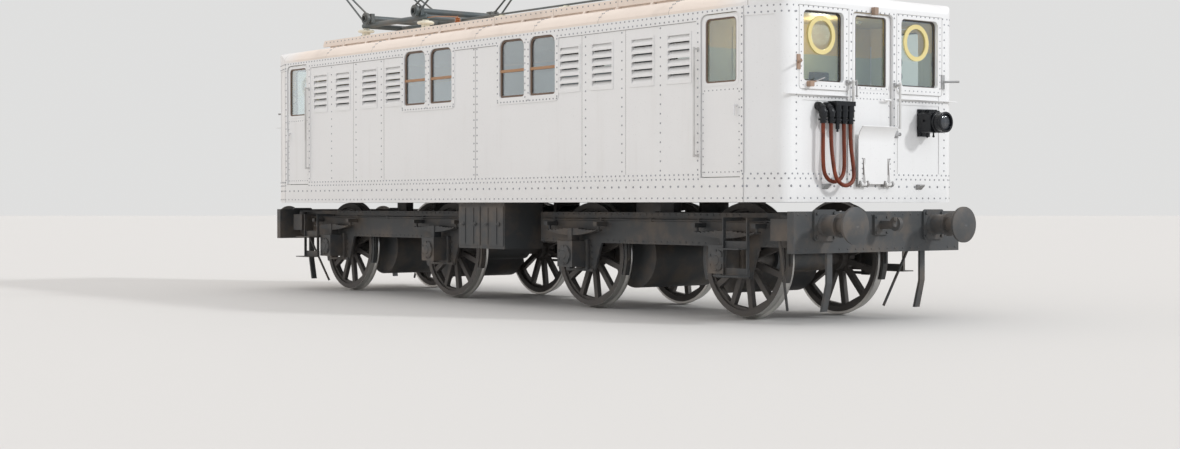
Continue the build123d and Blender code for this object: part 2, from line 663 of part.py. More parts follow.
WINDOW_RAIL_Z = (2950, 2985)
WINDOW_RAIL_THICK = 18


def window_rails():
    """Wooden rails across the side windows, against the outside of the glass."""
    rails = []
    y = HALF_WIDTH - WALL / 2 + GLASS_THICK / 2 + SEAT_GAP
    half = SIDE_WINDOW_WIDTH / 2 - SEAT_GAP
    for end in (-1, 1):
        for x in SIDE_WINDOW_X:
            rail = block((end * x - half, end * x + half), (y, y + WINDOW_RAIL_THICK), WINDOW_RAIL_Z)
            rails += [rail, turned(rail)]
    return rails


RAIL_RADIUS = 14
RAIL_STUD = 10
RAIL_REACH = 60
RAIL_FOOT = 18
GANGWAY_RAIL_Y = 378
# Grab rails beside the gangway door: side of the centreline, low end, high end
GANGWAY_RAILS = ((-1, 1500, 2620), (1, 2120, 2620))
DOOR_RAIL_Z = (1800, 3020)


def grab_rail(face, z):
    """Upright rail on two studs with round feet, standing on a face that looks along +X."""
    rail = rod((face + RAIL_REACH, 0, z[0]), (face + RAIL_REACH, 0, z[1]), RAIL_RADIUS)
    for stud_z in (z[0] + RAIL_FOOT, z[1] - RAIL_FOOT):
        rail += rod((face, 0, stud_z), (face + RAIL_REACH, 0, stud_z), RAIL_STUD)
        rail += rod((face, 0, stud_z), (face + 6, 0, stud_z), RAIL_FOOT)
    return rail


def handrails():
    """Grab rails beside the gangway doors and the cab side doors, and the corner arms."""
    rails = []
    face = HALF_LENGTH + BAND_THICK + SEAT_GAP
    for side, low, high in GANGWAY_RAILS:
        rail = Pos(0, side * GANGWAY_RAIL_Y, 0) * grab_rail(face, (low, high))
        rail += Pos(face + RAIL_REACH, side * GANGWAY_RAIL_Y, high) * Sphere(RAIL_RADIUS + 6)
        rails += [rail, turned(rail)]
    rail = grab_rail(HALF_WIDTH + BAND_THICK + SEAT_GAP, DOOR_RAIL_Z)
    door_rail_x = CAB_DOOR_X - CAB_DOOR_WIDTH / 2 - FRAME_MARGIN / 2
    for side in (-1, 1):
        for end in (-1, 1):
            rails.append(Pos(end * door_rail_x, 0, 0) * (Rot(0, 0, side * 90) * rail))
    return rails


# Arms at the corners of the ends: y, height of the plate's middle
CORNER_ARMS = ((1165, 2680), (-1165, 2800))
ARM_PLATE = (25, 80, 12)
ARM_LENGTH = 220
WIPER_Y = -1010
WIPER_Z = 2570
WIPER_BOX = 60
WIPER_ARM = 230
LAMP_BRACKET = (55, 30, 3372, 3455)


def end_brackets():
    """Corner arms, wiper drive and the small bracket over the gangway door, for both ends."""
    brackets = []
    face = HALF_LENGTH + BAND_THICK + SEAT_GAP
    for y, z in CORNER_ARMS:
        way = 1 if y > 0 else -1
        half_y, half_z, thick = ARM_PLATE
        arm = block((face, face + thick), (y - half_y, y + half_y), (z - half_z, z + half_z))
        knee = (face + 45, y + way * 10, z)
        arm += rod((face + thick / 2, y, z), knee, RAIL_STUD + 3)
        arm += rod(knee, (face + 45 + ARM_LENGTH / 2, y + way * ARM_LENGTH / 2, z), RAIL_STUD + 3)
        brackets.append(arm)
    wiper = block((face, face + WIPER_BOX), (WIPER_Y - WIPER_BOX / 2, WIPER_Y + WIPER_BOX / 2),
                  (WIPER_Z - WIPER_BOX / 2, WIPER_Z + WIPER_BOX / 2))
    wiper = fillet(wiper.edges().filter_by(Axis.X), 12)
    tip = (face + 16, WIPER_Y + WIPER_ARM, WIPER_Z + 75)
    wiper += rod((face + 16, WIPER_Y, WIPER_Z), tip, 7)
    brackets.append(wiper)
    reach, half, low, high = LAMP_BRACKET
    brackets.append(block((face, face + reach), (-half, half), (low, high)))
    return brackets + [turned(bracket) for bracket in brackets]


SOCKET_X = HALF_LENGTH + 90
SOCKET_MOUTH_Z = 2150
SOCKET_RADIUS = 34
SOCKET_BODY = 44
SOCKET_COLLAR = 52
ELBOW_SOCKETS_Y = (-870, -750)
STRAIGHT_SOCKETS_Y = (-650, -550, -450)
EMPTY_SOCKET_Y = -650
# Cap over the socket without a cable: low end, high end, radius
EMPTY_SOCKET_CAP = [
    (-60, 1, 22),
    (-90, -59, 12),
]
ELBOW_CENTRE_Z = 2250
ELBOW_TUBE = 46
SOCKET_RAIL_Y = (-705, -405)
SOCKET_RAIL_Z = (2345, 2394)
SOCKET_RAIL_REACH = 130


def socket_mouth(y):
    """Mouth and clamping ring that every socket has, at its lower end."""
    mouth = rod((SOCKET_X, y, SOCKET_MOUTH_Z), (SOCKET_X, y, SOCKET_MOUTH_Z + 70), SOCKET_RADIUS)
    mouth += rod((SOCKET_X, y, SOCKET_MOUTH_Z + 30), (SOCKET_X, y, SOCKET_MOUTH_Z + 46), SOCKET_COLLAR)
    return mouth


def jumper_sockets():
    """Two bent sockets on the wall and three upright ones under a common rail."""
    face = HALF_LENGTH + SEAT_GAP
    pieces = []
    bend = SOCKET_X - face
    for y in ELBOW_SOCKETS_Y:
        socket = socket_mouth(y)
        socket += rod((SOCKET_X, y, SOCKET_MOUTH_Z + 69), (SOCKET_X, y, ELBOW_CENTRE_Z), ELBOW_TUBE)
        tube = Plane(origin=(SOCKET_X, y, ELBOW_CENTRE_Z)) * Circle(ELBOW_TUBE)
        turn_axis = Axis((face, y, ELBOW_CENTRE_Z), (0, -1, 0))
        socket += revolve(tube, turn_axis, 90)
        rib = Plane(origin=(SOCKET_X, y, ELBOW_CENTRE_Z)) * Circle(ELBOW_TUBE + 6)
        for start in (6, 36):
            socket += revolve(rib.rotate(turn_axis, start), turn_axis, 9)
        pieces.append(socket)
    rail = block((face, face + SOCKET_RAIL_REACH), SOCKET_RAIL_Y, SOCKET_RAIL_Z)
    for y in STRAIGHT_SOCKETS_Y:
        rail += socket_mouth(y)
        rail += rod((SOCKET_X, y, SOCKET_MOUTH_Z + 69), (SOCKET_X, y, SOCKET_RAIL_Z[0] + 1), SOCKET_BODY)
        rail += rod((SOCKET_X, y, SOCKET_RAIL_Z[0] - 60), (SOCKET_X, y, SOCKET_RAIL_Z[0] - 44), SOCKET_COLLAR)
        rail += block((face, SOCKET_X), (y - 12, y + 12), (SOCKET_MOUTH_Z + 90, SOCKET_RAIL_Z[0] + 1))
    for low, high, radius in EMPTY_SOCKET_CAP:
        foot = (SOCKET_X, EMPTY_SOCKET_Y, SOCKET_MOUTH_Z + low)
        rail += rod(foot, (SOCKET_X, EMPTY_SOCKET_Y, SOCKET_MOUTH_Z + high), radius)
    pieces.append(rail)
    return pieces + [turned(piece) for piece in pieces]


CABLE_DIAMETER = 44
# Each route runs from socket to socket: x, y, z
CABLE_ROUTES = {
    "jumper_cable_1": [
        (SOCKET_X, -870, 2150), (SOCKET_X, -870, 2000), (5643, -875, 1810), (5647, -869, 1637),
        (5649, -826, 1562), (5650, -752, 1520), (5650, -668, 1521), (5649, -593, 1564),
        (5647, -551, 1638), (5643, -545, 1811), (SOCKET_X, -550, 2000), (SOCKET_X, -550, 2150),
    ],
    "jumper_cable_2": [
        (SOCKET_X, -750, 2150), (SOCKET_X, -750, 1965), (5672, -755, 1755), (5702, -749, 1590),
        (5713, -709, 1520), (5718, -640, 1480), (5718, -560, 1481), (5713, -490, 1521),
        (5702, -451, 1591), (5672, -445, 1756), (SOCKET_X, -450, 1965), (SOCKET_X, -450, 2150),
    ],
}


def cord_radii(route):
    """The arc at each inner point, as large as its two runs allow."""
    radii = []
    for before, here, after in zip(route, route[1:], route[2:]):
        run_in = Vector(*here) - Vector(*before)
        run_out = Vector(*after) - Vector(*here)
        half_turn = math.radians(run_in.get_angle(run_out)) / 2
        radii.append(0.45 * min(run_in.length, run_out.length) / math.tan(half_turn))
    return radii


def cable(route):
    radii = cord_radii(route)
    print("cable radii", [round(radius) for radius in radii])
    path = FilletPolyline(*route, radius=radii)
    start = Plane(origin=route[0], z_dir=Vector(*route[1]) - Vector(*route[0]))
    tube = sweep(start * Circle(CABLE_DIAMETER / 2), path=path)
    print("cable volume ratio", tube.volume / (math.pi * (CABLE_DIAMETER / 2) ** 2 * path.length))
    return tube


LAMP_Y = 835
LAMP_Z = 2200
LAMP_SIZE = 230
LAMP_PLATE = (25, 95, 155)
LAMP_BODY_LENGTH = 190
LAMP_LENGTH = 350
LAMP_HOOD_RADIUS = 104
LAMP_RIM_RADIUS = 118
LAMP_RIM_WIDTH = 28
LAMP_BORE = 92
# Cooling fins on the lamp's top: distance from the wall, height
LAMP_FINS = ((60, 22), (95, 34), (130, 34), (165, 22))


def headlamps():
    """Removable box lamp with a round ribbed hood, on the left half of the front end."""
    face = HALF_LENGTH + SEAT_GAP
    half = LAMP_SIZE / 2
    thick, plate_y, plate_z = LAMP_PLATE
    lamp = block((face + thick - 1, face + thick + LAMP_BODY_LENGTH), (LAMP_Y - half, LAMP_Y + half),
                 (LAMP_Z - half, LAMP_Z + half))
    lamp = fillet(lamp.edges().filter_by(Axis.X), 30)
    lamp += block((face, face + thick), (LAMP_Y - plate_y, LAMP_Y + plate_y),
                  (LAMP_Z - plate_z, LAMP_Z + plate_z))
    start = face + thick + LAMP_BODY_LENGTH - 1
    tip = face + LAMP_LENGTH
    lamp += rod((start, LAMP_Y, LAMP_Z), (tip, LAMP_Y, LAMP_Z), LAMP_HOOD_RADIUS)
    for x in (start + 8, tip - LAMP_RIM_WIDTH):
        rim = rod((x, LAMP_Y, LAMP_Z), (x + LAMP_RIM_WIDTH, LAMP_Y, LAMP_Z), LAMP_RIM_RADIUS)
        lamp += fillet(rim.edges(), LAMP_RIM_WIDTH / 2 - 2)
    lamp -= rod((start + 20, LAMP_Y, LAMP_Z), (tip + 1, LAMP_Y, LAMP_Z), LAMP_BORE)
    for x, height in LAMP_FINS:
        lamp += block((face + x, face + x + 12), (LAMP_Y - half + 30, LAMP_Y + half - 30),
                      (LAMP_Z + half - 1, LAMP_Z + half + height))
    for x in (70, 160):
        lamp += rod((face + x, LAMP_Y, LAMP_Z - half - 40), (face + x, LAMP_Y, LAMP_Z - half + 1), 9)
        lamp += Pos(face + x, LAMP_Y, LAMP_Z - half - 40) * Sphere(14)
    return both_ends(lamp)


# Height of the top, reach from the wall, thickness at the tip and at the wall
LAMP_IRON = (1500, 55, 15, 60)
LAMP_IRON_Y = 760
LAMP_IRON_HALF = 45


def lamp_irons():
    """Small three-cornered brackets low on the ends."""
    irons = []
    face = HALF_LENGTH + BAND_THICK + SEAT_GAP
    top, reach, lip, deep = LAMP_IRON
    outline = Polyline((face, top), (face + reach, top), (face + reach, top - lip), (face, top - deep),
                       close=True)
    iron = extrude(Plane.XZ * make_face(outline), LAMP_IRON_HALF, both=True)
    for side in (-1, 1):
        place = Pos(0, side * LAMP_IRON_Y, 0) * iron
        irons += [place, turned(place)]
    return irons


# Underframe and inside

BOGIE_TOP_Z = 1180
PIVOT_PIN_RADIUS = 60
PIVOT_PIN_DEPTH = 200
CENTRE_PLATE_RADIUS = 180
SOLE_BAR_Y = (HALF_WIDTH - 200, HALF_WIDTH - 70)
SOLE_BAR_PLATE = 25
SOLE_BAR_LOW = SKIRT_Z + 10
BEARER_LOW = SKIRT_Z + 60
BEARER_HALF = 200
SIDE_BEARER_Y = 700
END_BEAM_DEPTH = 150
CROSS_BEAM_HALF = 60
CROSS_BEAM_X = (-600, 0, 600)


def underframe():
    """Floor plate, sole bars, cross bearers with the pivot castings, and the end beams."""
    pieces = [plan_prism(-WALL - SEAT_GAP, FLOOR_LOW, FLOOR_Z)]
    top = FLOOR_LOW - SEAT_GAP
    sole_end = HALF_LENGTH - TAPER_LENGTH
    for side in (-1, 1):
        y = sorted((side * SOLE_BAR_Y[0], side * SOLE_BAR_Y[1]))
        bar = block((-sole_end, sole_end), y, (SOLE_BAR_LOW, top))
        web = sorted((side * (SOLE_BAR_Y[0] + SOLE_BAR_PLATE), side * (SOLE_BAR_Y[1] + 1)))
        bar -= block((-sole_end - 1, sole_end + 1), web, (SOLE_BAR_LOW + SOLE_BAR_PLATE, top - SOLE_BAR_PLATE))
        pieces.append(bar)
    reach = SOLE_BAR_Y[0] - SEAT_GAP
    for end in (-1, 1):
        x = end * BOGIE_PIVOT_X
        bearer = block((x - BEARER_HALF, x + BEARER_HALF), (-reach, reach), (BEARER_LOW, top))
        bearer += rod((x, 0, BOGIE_TOP_Z + SEAT_GAP), (x, 0, top), CENTRE_PLATE_RADIUS)
        bearer += rod((x, 0, BOGIE_TOP_Z - PIVOT_PIN_DEPTH), (x, 0, BOGIE_TOP_Z + 1), PIVOT_PIN_RADIUS)
        pieces.append(bearer)
        inside = HALF_LENGTH - WALL - SEAT_GAP
        end_x = sorted((end * (inside - END_BEAM_DEPTH), end * inside))
        half = END_HALF - CORNER_RADIUS
        pieces.append(block(end_x, (-half, half), (SOLE_BAR_LOW, top)))
    for x in CROSS_BEAM_X:
        pieces.append(block((x - CROSS_BEAM_HALF, x + CROSS_BEAM_HALF), (-reach, reach), (BEARER_LOW, top)))
    return pieces


BATTERY_BOX = (520, 620, 700)
BATTERY_LID = 30
RESERVOIR_RADIUS = 250
RESERVOIR_HALF = 560
RESERVOIR_Z = 1000
STRAP_X = (-330, 330)
STRAP_WIDTH = 40


def underfloor_boxes():
    """Battery boxes with lids and ribbed doors, and an air reservoir, between the bogies."""
    hung = []
    half_x, deep, low = BATTERY_BOX
    top = SOLE_BAR_LOW - SEAT_GAP
    outer = HALF_WIDTH - 90
    for side in (-1, 1):
        y = sorted((side * (outer - deep), side * outer))
        box = block((-half_x, half_x), y, (low, top))
        lid_y = sorted((side * (outer - deep), side * (outer + 15)))
        box += block((-half_x - 15, half_x + 15), lid_y, (top - BATTERY_LID, top))
        door_y = sorted((side * (outer - 1), side * (outer + 10)))
        for end in (-1, 1):
            door = block(sorted((end * 20, end * (half_x - 20))), door_y, (low + 40, top - BATTERY_LID - 30))
            box += door
            for share in (0.3, 0.7):
                rib_x = end * (20 + share * (half_x - 40))
                rib_y = sorted((side * outer, side * (outer + 18)))
                box += block((rib_x - 8, rib_x + 8), rib_y, (low + 60, top - BATTERY_LID - 50))
        hung.append(box)
    tank = rod((-RESERVOIR_HALF, 0, RESERVOIR_Z), (RESERVOIR_HALF, 0, RESERVOIR_Z), RESERVOIR_RADIUS)
    tank = fillet(tank.edges().filter_by(GeomType.CIRCLE), 70)
    for x in STRAP_X:
        half = STRAP_WIDTH / 2
        tank += rod((x - half, 0, RESERVOIR_Z), (x + half, 0, RESERVOIR_Z), RESERVOIR_RADIUS + 8)
    tank += block((-30, 30), (-200, 200), (RESERVOIR_Z, BEARER_LOW - SEAT_GAP))
    hung.append(tank)
    return hung


BULKHEAD_FROM_END = 1400
BULKHEAD_X = HALF_LENGTH - BULKHEAD_FROM_END
BULKHEAD_THICK = 40
BULKHEAD_DOOR_Y = (-850, -250)
BULKHEAD_DOOR_TOP = 3300


def bulkheads():
    """Partitions between the cabs and the equipment space, with a raised door panel."""
    inside = HALF_WIDTH - WALL - SEAT_GAP
    x = (BULKHEAD_X, BULKHEAD_X + BULKHEAD_THICK)
    low = FLOOR_Z + SEAT_GAP
    plate = block(x, (-inside, inside), (low, EAVES_Z))
    plate += block((x[1] - 1, x[1] + 8), BULKHEAD_DOOR_Y, (low + 10, BULKHEAD_DOOR_TOP))
    plate += rod((x[1], BULKHEAD_DOOR_Y[1] - 60, 2500), (x[1] + 50, BULKHEAD_DOOR_Y[1] - 60, 2500), 14)
    return both_ends(plate)


DESK_TOP_Z = 2450
HANDWHEEL_RADIUS = 140
HANDWHEEL_Z = 2530
HANDWHEEL_SPOKES = (15, 75, 135)
STAND_RADIUS = 60
SEAT_Z = 2000
# Places in the front cab, from the end of the body and the centreline
DESK_PLACE = (280, 680)
STAND_PLACE = (230, 1050)
SEAT_PLACE = (750, 560)


def cab_controls():
    """Controller with its handwheel, brake stand with its handle and seat, for each cab."""
    pieces = []
    low = FLOOR_Z + SEAT_GAP
    x, y = HALF_LENGTH - DESK_PLACE[0], DESK_PLACE[1]
    desk = block((x - 150, x + 150), (y - 200, y + 200), (low, DESK_TOP_Z))
    desk = chamfer(desk.edges().filter_by(Axis.Y).sort_by(Axis.Z)[-2:], 60)
    desk += rod((x, y, DESK_TOP_Z - 1), (x, y, HANDWHEEL_Z + 10), 22)
    desk += Pos(x, y, HANDWHEEL_Z) * Torus(HANDWHEEL_RADIUS, 11)
    for turn in HANDWHEEL_SPOKES:
        dx = HANDWHEEL_RADIUS * math.cos(math.radians(turn))
        dy = HANDWHEEL_RADIUS * math.sin(math.radians(turn))
        desk += rod((x - dx, y - dy, HANDWHEEL_Z), (x + dx, y + dy, HANDWHEEL_Z), 8)
    x, y = HALF_LENGTH - STAND_PLACE[0], STAND_PLACE[1]
    stand = rod((x, y, low), (x, y, DESK_TOP_Z), STAND_RADIUS)
    stand += rod((x, y, DESK_TOP_Z - 1), (x, y, DESK_TOP_Z + 50), 25)
    stand += rod((x, y, DESK_TOP_Z + 40), (x - 170, y - 60, DESK_TOP_Z + 55), 10)
    x, y = HALF_LENGTH - SEAT_PLACE[0], SEAT_PLACE[1]
    seat = rod((x, y, low), (x, y, SEAT_Z), 40)
    seat += rod((x, y, low), (x, y, low + 20), 160)
    cushion = block((x - 190, x + 190), (y - 190, y + 190), (SEAT_Z - 1, SEAT_Z + 70))
    back = block((x - 210, x - 150), (y - 180, y + 180), (SEAT_Z + 120, SEAT_Z + 480))
    seat += fillet(cushion.edges().filter_by(Axis.Z), 40)
    seat += fillet(back.edges().filter_by(Axis.X), 40)
    seat += block((x - 190, x - 170), (y - 30, y + 30), (SEAT_Z, SEAT_Z + 200))
    for piece in (desk, stand, seat):
        pieces += both_ends(piece)
    return pieces


EQUIPMENT_HALF = (BULKHEAD_X - 250, 750)
EQUIPMENT_TOP_Z = 3000
EQUIPMENT_STEP = (500, 250)


def equipment_block():
    """The power equipment as closed cubicles, lower ones at both ends."""
    half_x, half_y = EQUIPMENT_HALF
    low = FLOOR_Z + SEAT_GAP
    step_x, step_z = EQUIPMENT_STEP
    cubicles = block((-half_x, half_x), (-half_y, half_y), (low, EQUIPMENT_TOP_Z - step_z))
    cubicles += block((step_x - half_x, half_x - step_x), (-half_y, half_y), (low, EQUIPMENT_TOP_Z))
    return cubicles


# Pantographs

LOWER = math.radians(LOWER_ARM_ANGLE)
ELBOW_X = SHAFT_SPACING / 2 + LOWER_ARM * math.cos(LOWER)
ELBOW_Z = SHAFT_Z + LOWER_ARM * math.sin(LOWER)
HEAD_PIVOT_X = HEAD_PIVOT_SPACING / 2
HEAD_PIVOT_Z = ELBOW_Z + math.sqrt(UPPER_ARM ** 2 - (ELBOW_X - HEAD_PIVOT_X) ** 2)
ROOF_RISE = (RAISED_TOP_Z - RAISED_EDGE_Z[1]) / (RAISED_WIDTH / 2) ** 2


def raised_surface_z(y):
    """Height of the raised roof's top at a distance from the centreline."""
    return RAISED_TOP_Z - ROOF_RISE * y * y


BASE_Z = 3975
BASE_TUBE = 40
BASE_OVERHANG = 60
CENTRE_TUBE = 25
# Shaft bearing: half length, half width, height over the shaft
BEARING = (60, 30, 25)
EYE_RADIUS = 36
EYE_HALF = 20
CRANK_INSET = 40
CRANK_RIM = 20
ARM_TIP_GAP = 24
PIN_OVERHANG = 20
BRACE_RADIUS = 9
CROSS_RADIUS = 12
UPPER_ARM_NARROWING = 240
BASE_Y = 620
CYLINDER_HALF = 260
CYLINDER_RADIUS = 62
INSULATOR_X = 820


INSULATOR_STEM = 62
INSULATOR_FOOT = 85
INSULATOR_CAP = 42
LINE_RADIUS = 14
LINE_SUPPORT_X = (-1500, 0, 1500)


def mushroom(low, top):
    """Turned insulator: wide foot, stem and a thick round-edged cap just under its top."""
    cap_low = top - 22 - INSULATOR_CAP
    outline = Polyline((0, low), (INSULATOR_FOOT, low), (INSULATOR_STEM, low + 18), (INSULATOR_STEM, cap_low - 8),
                       (INSULATOR_RADIUS - 14, cap_low), (INSULATOR_RADIUS, cap_low + 12),
                       (INSULATOR_RADIUS, top - 34), (INSULATOR_RADIUS - 14, top - 22), (48, top - 14),
                       (48, top), (0, top), close=True)
    return revolve(Plane.XZ * make_face(outline), Axis.Z)


def pantograph_insulators():
    """Mushroom insulators under the corners of each pantograph base and under the roof line."""
    insulators = []
    top = BASE_Z - BASE_TUBE - SEAT_GAP
    for end in (-1, 1):
        for dx in (-INSULATOR_X, INSULATOR_X):
            for y in (-BASE_Y, BASE_Y):
                low = raised_surface_z(abs(y) - INSULATOR_FOOT) + SEAT_GAP
                insulators.append(Pos(end * PANTOGRAPH_X + dx, y, 0) * mushroom(low, top))
    for x in LINE_SUPPORT_X:
        low = RAISED_TOP_Z + SEAT_GAP
        insulators.append(Pos(x, 0, 0) * mushroom(low, BASE_Z - LINE_RADIUS - SEAT_GAP))
    return insulators


def roof_line():
    """Bare conductor along the roof between the two pantograph bases."""
    end = PANTOGRAPH_X - INSULATOR_X - BASE_TUBE - SEAT_GAP
    return rod((-end, 0, BASE_Z), (end, 0, BASE_Z), LINE_RADIUS)


def pantograph_base(x0):
    """Base frame of one pantograph with the four shaft bearings."""
    base = None
    for side in (-1, 1):
        y = side * BASE_Y
        reach = INSULATOR_X + BASE_OVERHANG
        tube = rod((x0 - reach, y, BASE_Z), (x0 + reach, y, BASE_Z), BASE_TUBE)
        base = tube if base is None else base + tube
        for way in (-1, 1):
            x = x0 + way * SHAFT_SPACING / 2
            bearing = block((x - BEARING[0], x + BEARING[0]), (y - BEARING[1], y + BEARING[1]),
                            (BASE_Z, SHAFT_Z + SHAFT_RADIUS + BEARING[2]))
            base += bearing
    for dx in (-INSULATOR_X, INSULATOR_X):
        base += rod((x0 + dx, -BASE_Y, BASE_Z), (x0 + dx, BASE_Y, BASE_Z), BASE_TUBE)
    base += rod((x0 - INSULATOR_X, 0, BASE_Z), (x0 + INSULATOR_X, 0, BASE_Z), CENTRE_TUBE)
    base += rod((x0 - CYLINDER_HALF, 0, BASE_Z), (x0 + CYLINDER_HALF, 0, BASE_Z), CYLINDER_RADIUS)
    for side in (-1, 1):
        for way in (-1, 1):
            x = x0 + way * SHAFT_SPACING / 2
            y = side * BASE_Y
            half = BEARING[1] + 1
            base -= rod((x, y - half, SHAFT_Z), (x, y + half, SHAFT_Z), SHAFT_RADIUS + PIN_GAP)
    return base


def lower_arm(x0, way):
    """Shaft with its two side arms, each a pair of thin rods, and the elbow pin."""
    sx = x0 + way * SHAFT_SPACING / 2
    ex = x0 + way * ELBOW_X
    half = SHAFT_HALF_WIDTH
    arm = rod((sx, -half, SHAFT_Z), (sx, half, SHAFT_Z), SHAFT_RADIUS)
    bore = rod((sx, -half - 1, SHAFT_Z), (sx, half + 1, SHAFT_Z), SHAFT_RADIUS - SHAFT_TUBE)
    pin_y = ARM_Y + PIN_OVERHANG
    arm += rod((ex, -pin_y, ELBOW_Z), (ex, pin_y, ELBOW_Z), ELBOW_RADIUS)
    direction = Vector(ex - sx, 0, ELBOW_Z - SHAFT_Z).normalized()
    across = Vector(-direction.Z, 0, direction.X)
    for side in (-1, 1):
        foot = Vector(sx, side * (SHAFT_HALF_WIDTH - CRANK_INSET), SHAFT_Z)
        tip = Vector(ex, side * ARM_Y, ELBOW_Z)
        for way_up in (-1, 1):
            start = foot + across * way_up * ARM_ROD_GAP / 2
            arm += rod(start, tip + across * way_up * ARM_TIP_GAP / 2, ARM_ROD_RADIUS)
        crank = ARM_ROD_GAP / 2 + CRANK_RIM
        arm += rod((sx, foot.Y - EYE_HALF, SHAFT_Z), (sx, foot.Y + EYE_HALF, SHAFT_Z), crank)
        arm += rod((ex, tip.Y - EYE_HALF + 2, ELBOW_Z), (ex, tip.Y + EYE_HALF - 2, ELBOW_Z), EYE_RADIUS)
    return arm - bore


def upper_arm(x0, way):
    """Upper arm: eyes round the elbow pin, two side tubes, braces and the head pin or eyes."""
    ex = x0 + way * ELBOW_X
    hx = x0 + way * HEAD_PIVOT_X
    arm = None
    for side in (-1, 1):
        y = side * UPPER_ARM_Y
        top_y = side * (UPPER_ARM_Y - UPPER_ARM_NARROWING)
        eye = rod((ex, y - EYE_HALF, ELBOW_Z), (ex, y + EYE_HALF, ELBOW_Z), EYE_RADIUS)
        arm = eye if arm is None else arm + eye
        arm += rod((ex, y, ELBOW_Z), (hx, top_y, HEAD_PIVOT_Z), ARM_ROD_RADIUS)
    half = Vector((ex + hx) / 2, 0, (ELBOW_Z + HEAD_PIVOT_Z) / 2)
    half_y = UPPER_ARM_Y - UPPER_ARM_NARROWING / 2
    arm += rod((half.X, -half_y, half.Z), (half.X, half_y, half.Z), CROSS_RADIUS)
    arm += rod((ex, -UPPER_ARM_Y, ELBOW_Z), (half.X, half_y, half.Z), BRACE_RADIUS)
    arm += rod((ex, UPPER_ARM_Y, ELBOW_Z), (half.X, -half_y, half.Z), BRACE_RADIUS)
    pin_y = UPPER_ARM_Y - UPPER_ARM_NARROWING + PIN_OVERHANG
    arm += rod((hx, -pin_y, HEAD_PIVOT_Z), (hx, pin_y, HEAD_PIVOT_Z), ELBOW_RADIUS)
    for side in (-1, 1):
        y = side * UPPER_ARM_Y
        bore = 2 * EYE_HALF + 1
        arm -= rod((ex, y - bore, ELBOW_Z), (ex, y + bore, ELBOW_Z), ELBOW_RADIUS + PIN_GAP)
    return arm


HEAD_EYE_Y = 230
HEAD_EYE_HALF = 12
HEAD_EYE_RADIUS = 34


def head(x0):
    """Collector head: two bows on a cradle that hangs on the rear arm's pin."""
    top = HEAD_PIVOT_Z + HEAD_HEIGHT
    frame = None
    for side in (-1, 1):
        y = side * HEAD_EYE_Y
        span = (y - HEAD_EYE_HALF, y + HEAD_EYE_HALF)
        bore = (span[0] - 1, span[1] + 1)
        back, front = x0 - HEAD_PIVOT_X, x0 + HEAD_PIVOT_X
        cheek = rod((back, span[0], HEAD_PIVOT_Z), (back, span[1], HEAD_PIVOT_Z), HEAD_EYE_RADIUS)
        cheek += rod((back, y, HEAD_PIVOT_Z + STRIP_THICK), (back, y, top - STRIP_THICK / 2), ARM_ROD_RADIUS)
        cheek += rod((back, y, top - STRIP_THICK), (front, y, top - STRIP_THICK), ARM_ROD_RADIUS)
        cheek -= rod((back, bore[0], HEAD_PIVOT_Z), (back, bore[1], HEAD_PIVOT_Z), ELBOW_RADIUS + PIN_GAP)
        open_bore = ELBOW_RADIUS + OPEN_PIVOT_GAP
        cheek += rod((front, span[0], HEAD_PIVOT_Z), (front, span[1], HEAD_PIVOT_Z), open_bore + HEAD_EYE_HALF)
        foot_z = HEAD_PIVOT_Z + HEAD_EYE_RADIUS
        cheek += rod((front, y, foot_z), (front, y, top - STRIP_THICK / 2), ARM_ROD_RADIUS)
        cheek -= rod((front, bore[0], HEAD_PIVOT_Z), (front, bore[1], HEAD_PIVOT_Z), open_bore)
        frame = cheek if frame is None else frame + cheek
    turn = math.radians(HORN_TURN)
    flat = HEAD_LENGTH / 2 - HORN_RADIUS * math.sin(turn) - HORN_TIP * math.cos(turn)

    def horn_point(inset, share):
        radius = HORN_RADIUS - inset
        return (flat + radius * math.sin(turn * share), top - HORN_RADIUS + radius * math.cos(turn * share))

    def horn_tip(inset):
        y, z = horn_point(inset, 1)
        return (y + HORN_TIP * math.cos(turn), z - HORN_TIP * math.sin(turn))

    for way in (-1, 1):
        x = x0 + way * HEAD_PIVOT_X
        bow = block((x - STRIP_HALF, x + STRIP_HALF), (-flat, flat), (top - STRIP_THICK, top))
        for side in (-1, 1):
            outline = [
                Line(horn_point(STRIP_THICK, 0), horn_point(0, 0)),
                ThreePointArc(horn_point(0, 0), horn_point(0, 0.5), horn_point(0, 1)),
                Line(horn_point(0, 1), horn_tip(0)),
                Line(horn_tip(0), horn_tip(STRIP_THICK)),
                Line(horn_tip(STRIP_THICK), horn_point(STRIP_THICK, 1)),
                ThreePointArc(horn_point(STRIP_THICK, 1), horn_point(STRIP_THICK, 0.5), horn_point(STRIP_THICK, 0)),
            ]
            horn = extrude(Plane(origin=(x, 0, 0), x_dir=(0, side, 0), z_dir=(side, 0, 0)) * make_face(outline),
                           STRIP_HALF, both=True)
            bow += horn
        frame += bow
    return frame


# Bogies

PLATE_Y = (950, 980)
HEADSTOCK_Z = (750, 1200)
HEADSTOCK_HALF = 1330
INNER_END = -2225
BOX_HALF = 150
BOX_Z = (500, 820)
BOX_Y = (930, 1230)
BOLSTER_HALF = 250
BOLSTER_LOW_Z = 880
HORN_LOW_Z = 440
WAIST_Z = 800
HORN_HALVES = (420, 280)
INNER_BEAM_THICK = 80
INNER_BEAM_Z = (820, 1140)
SIDE_BEARER = (120, 60)


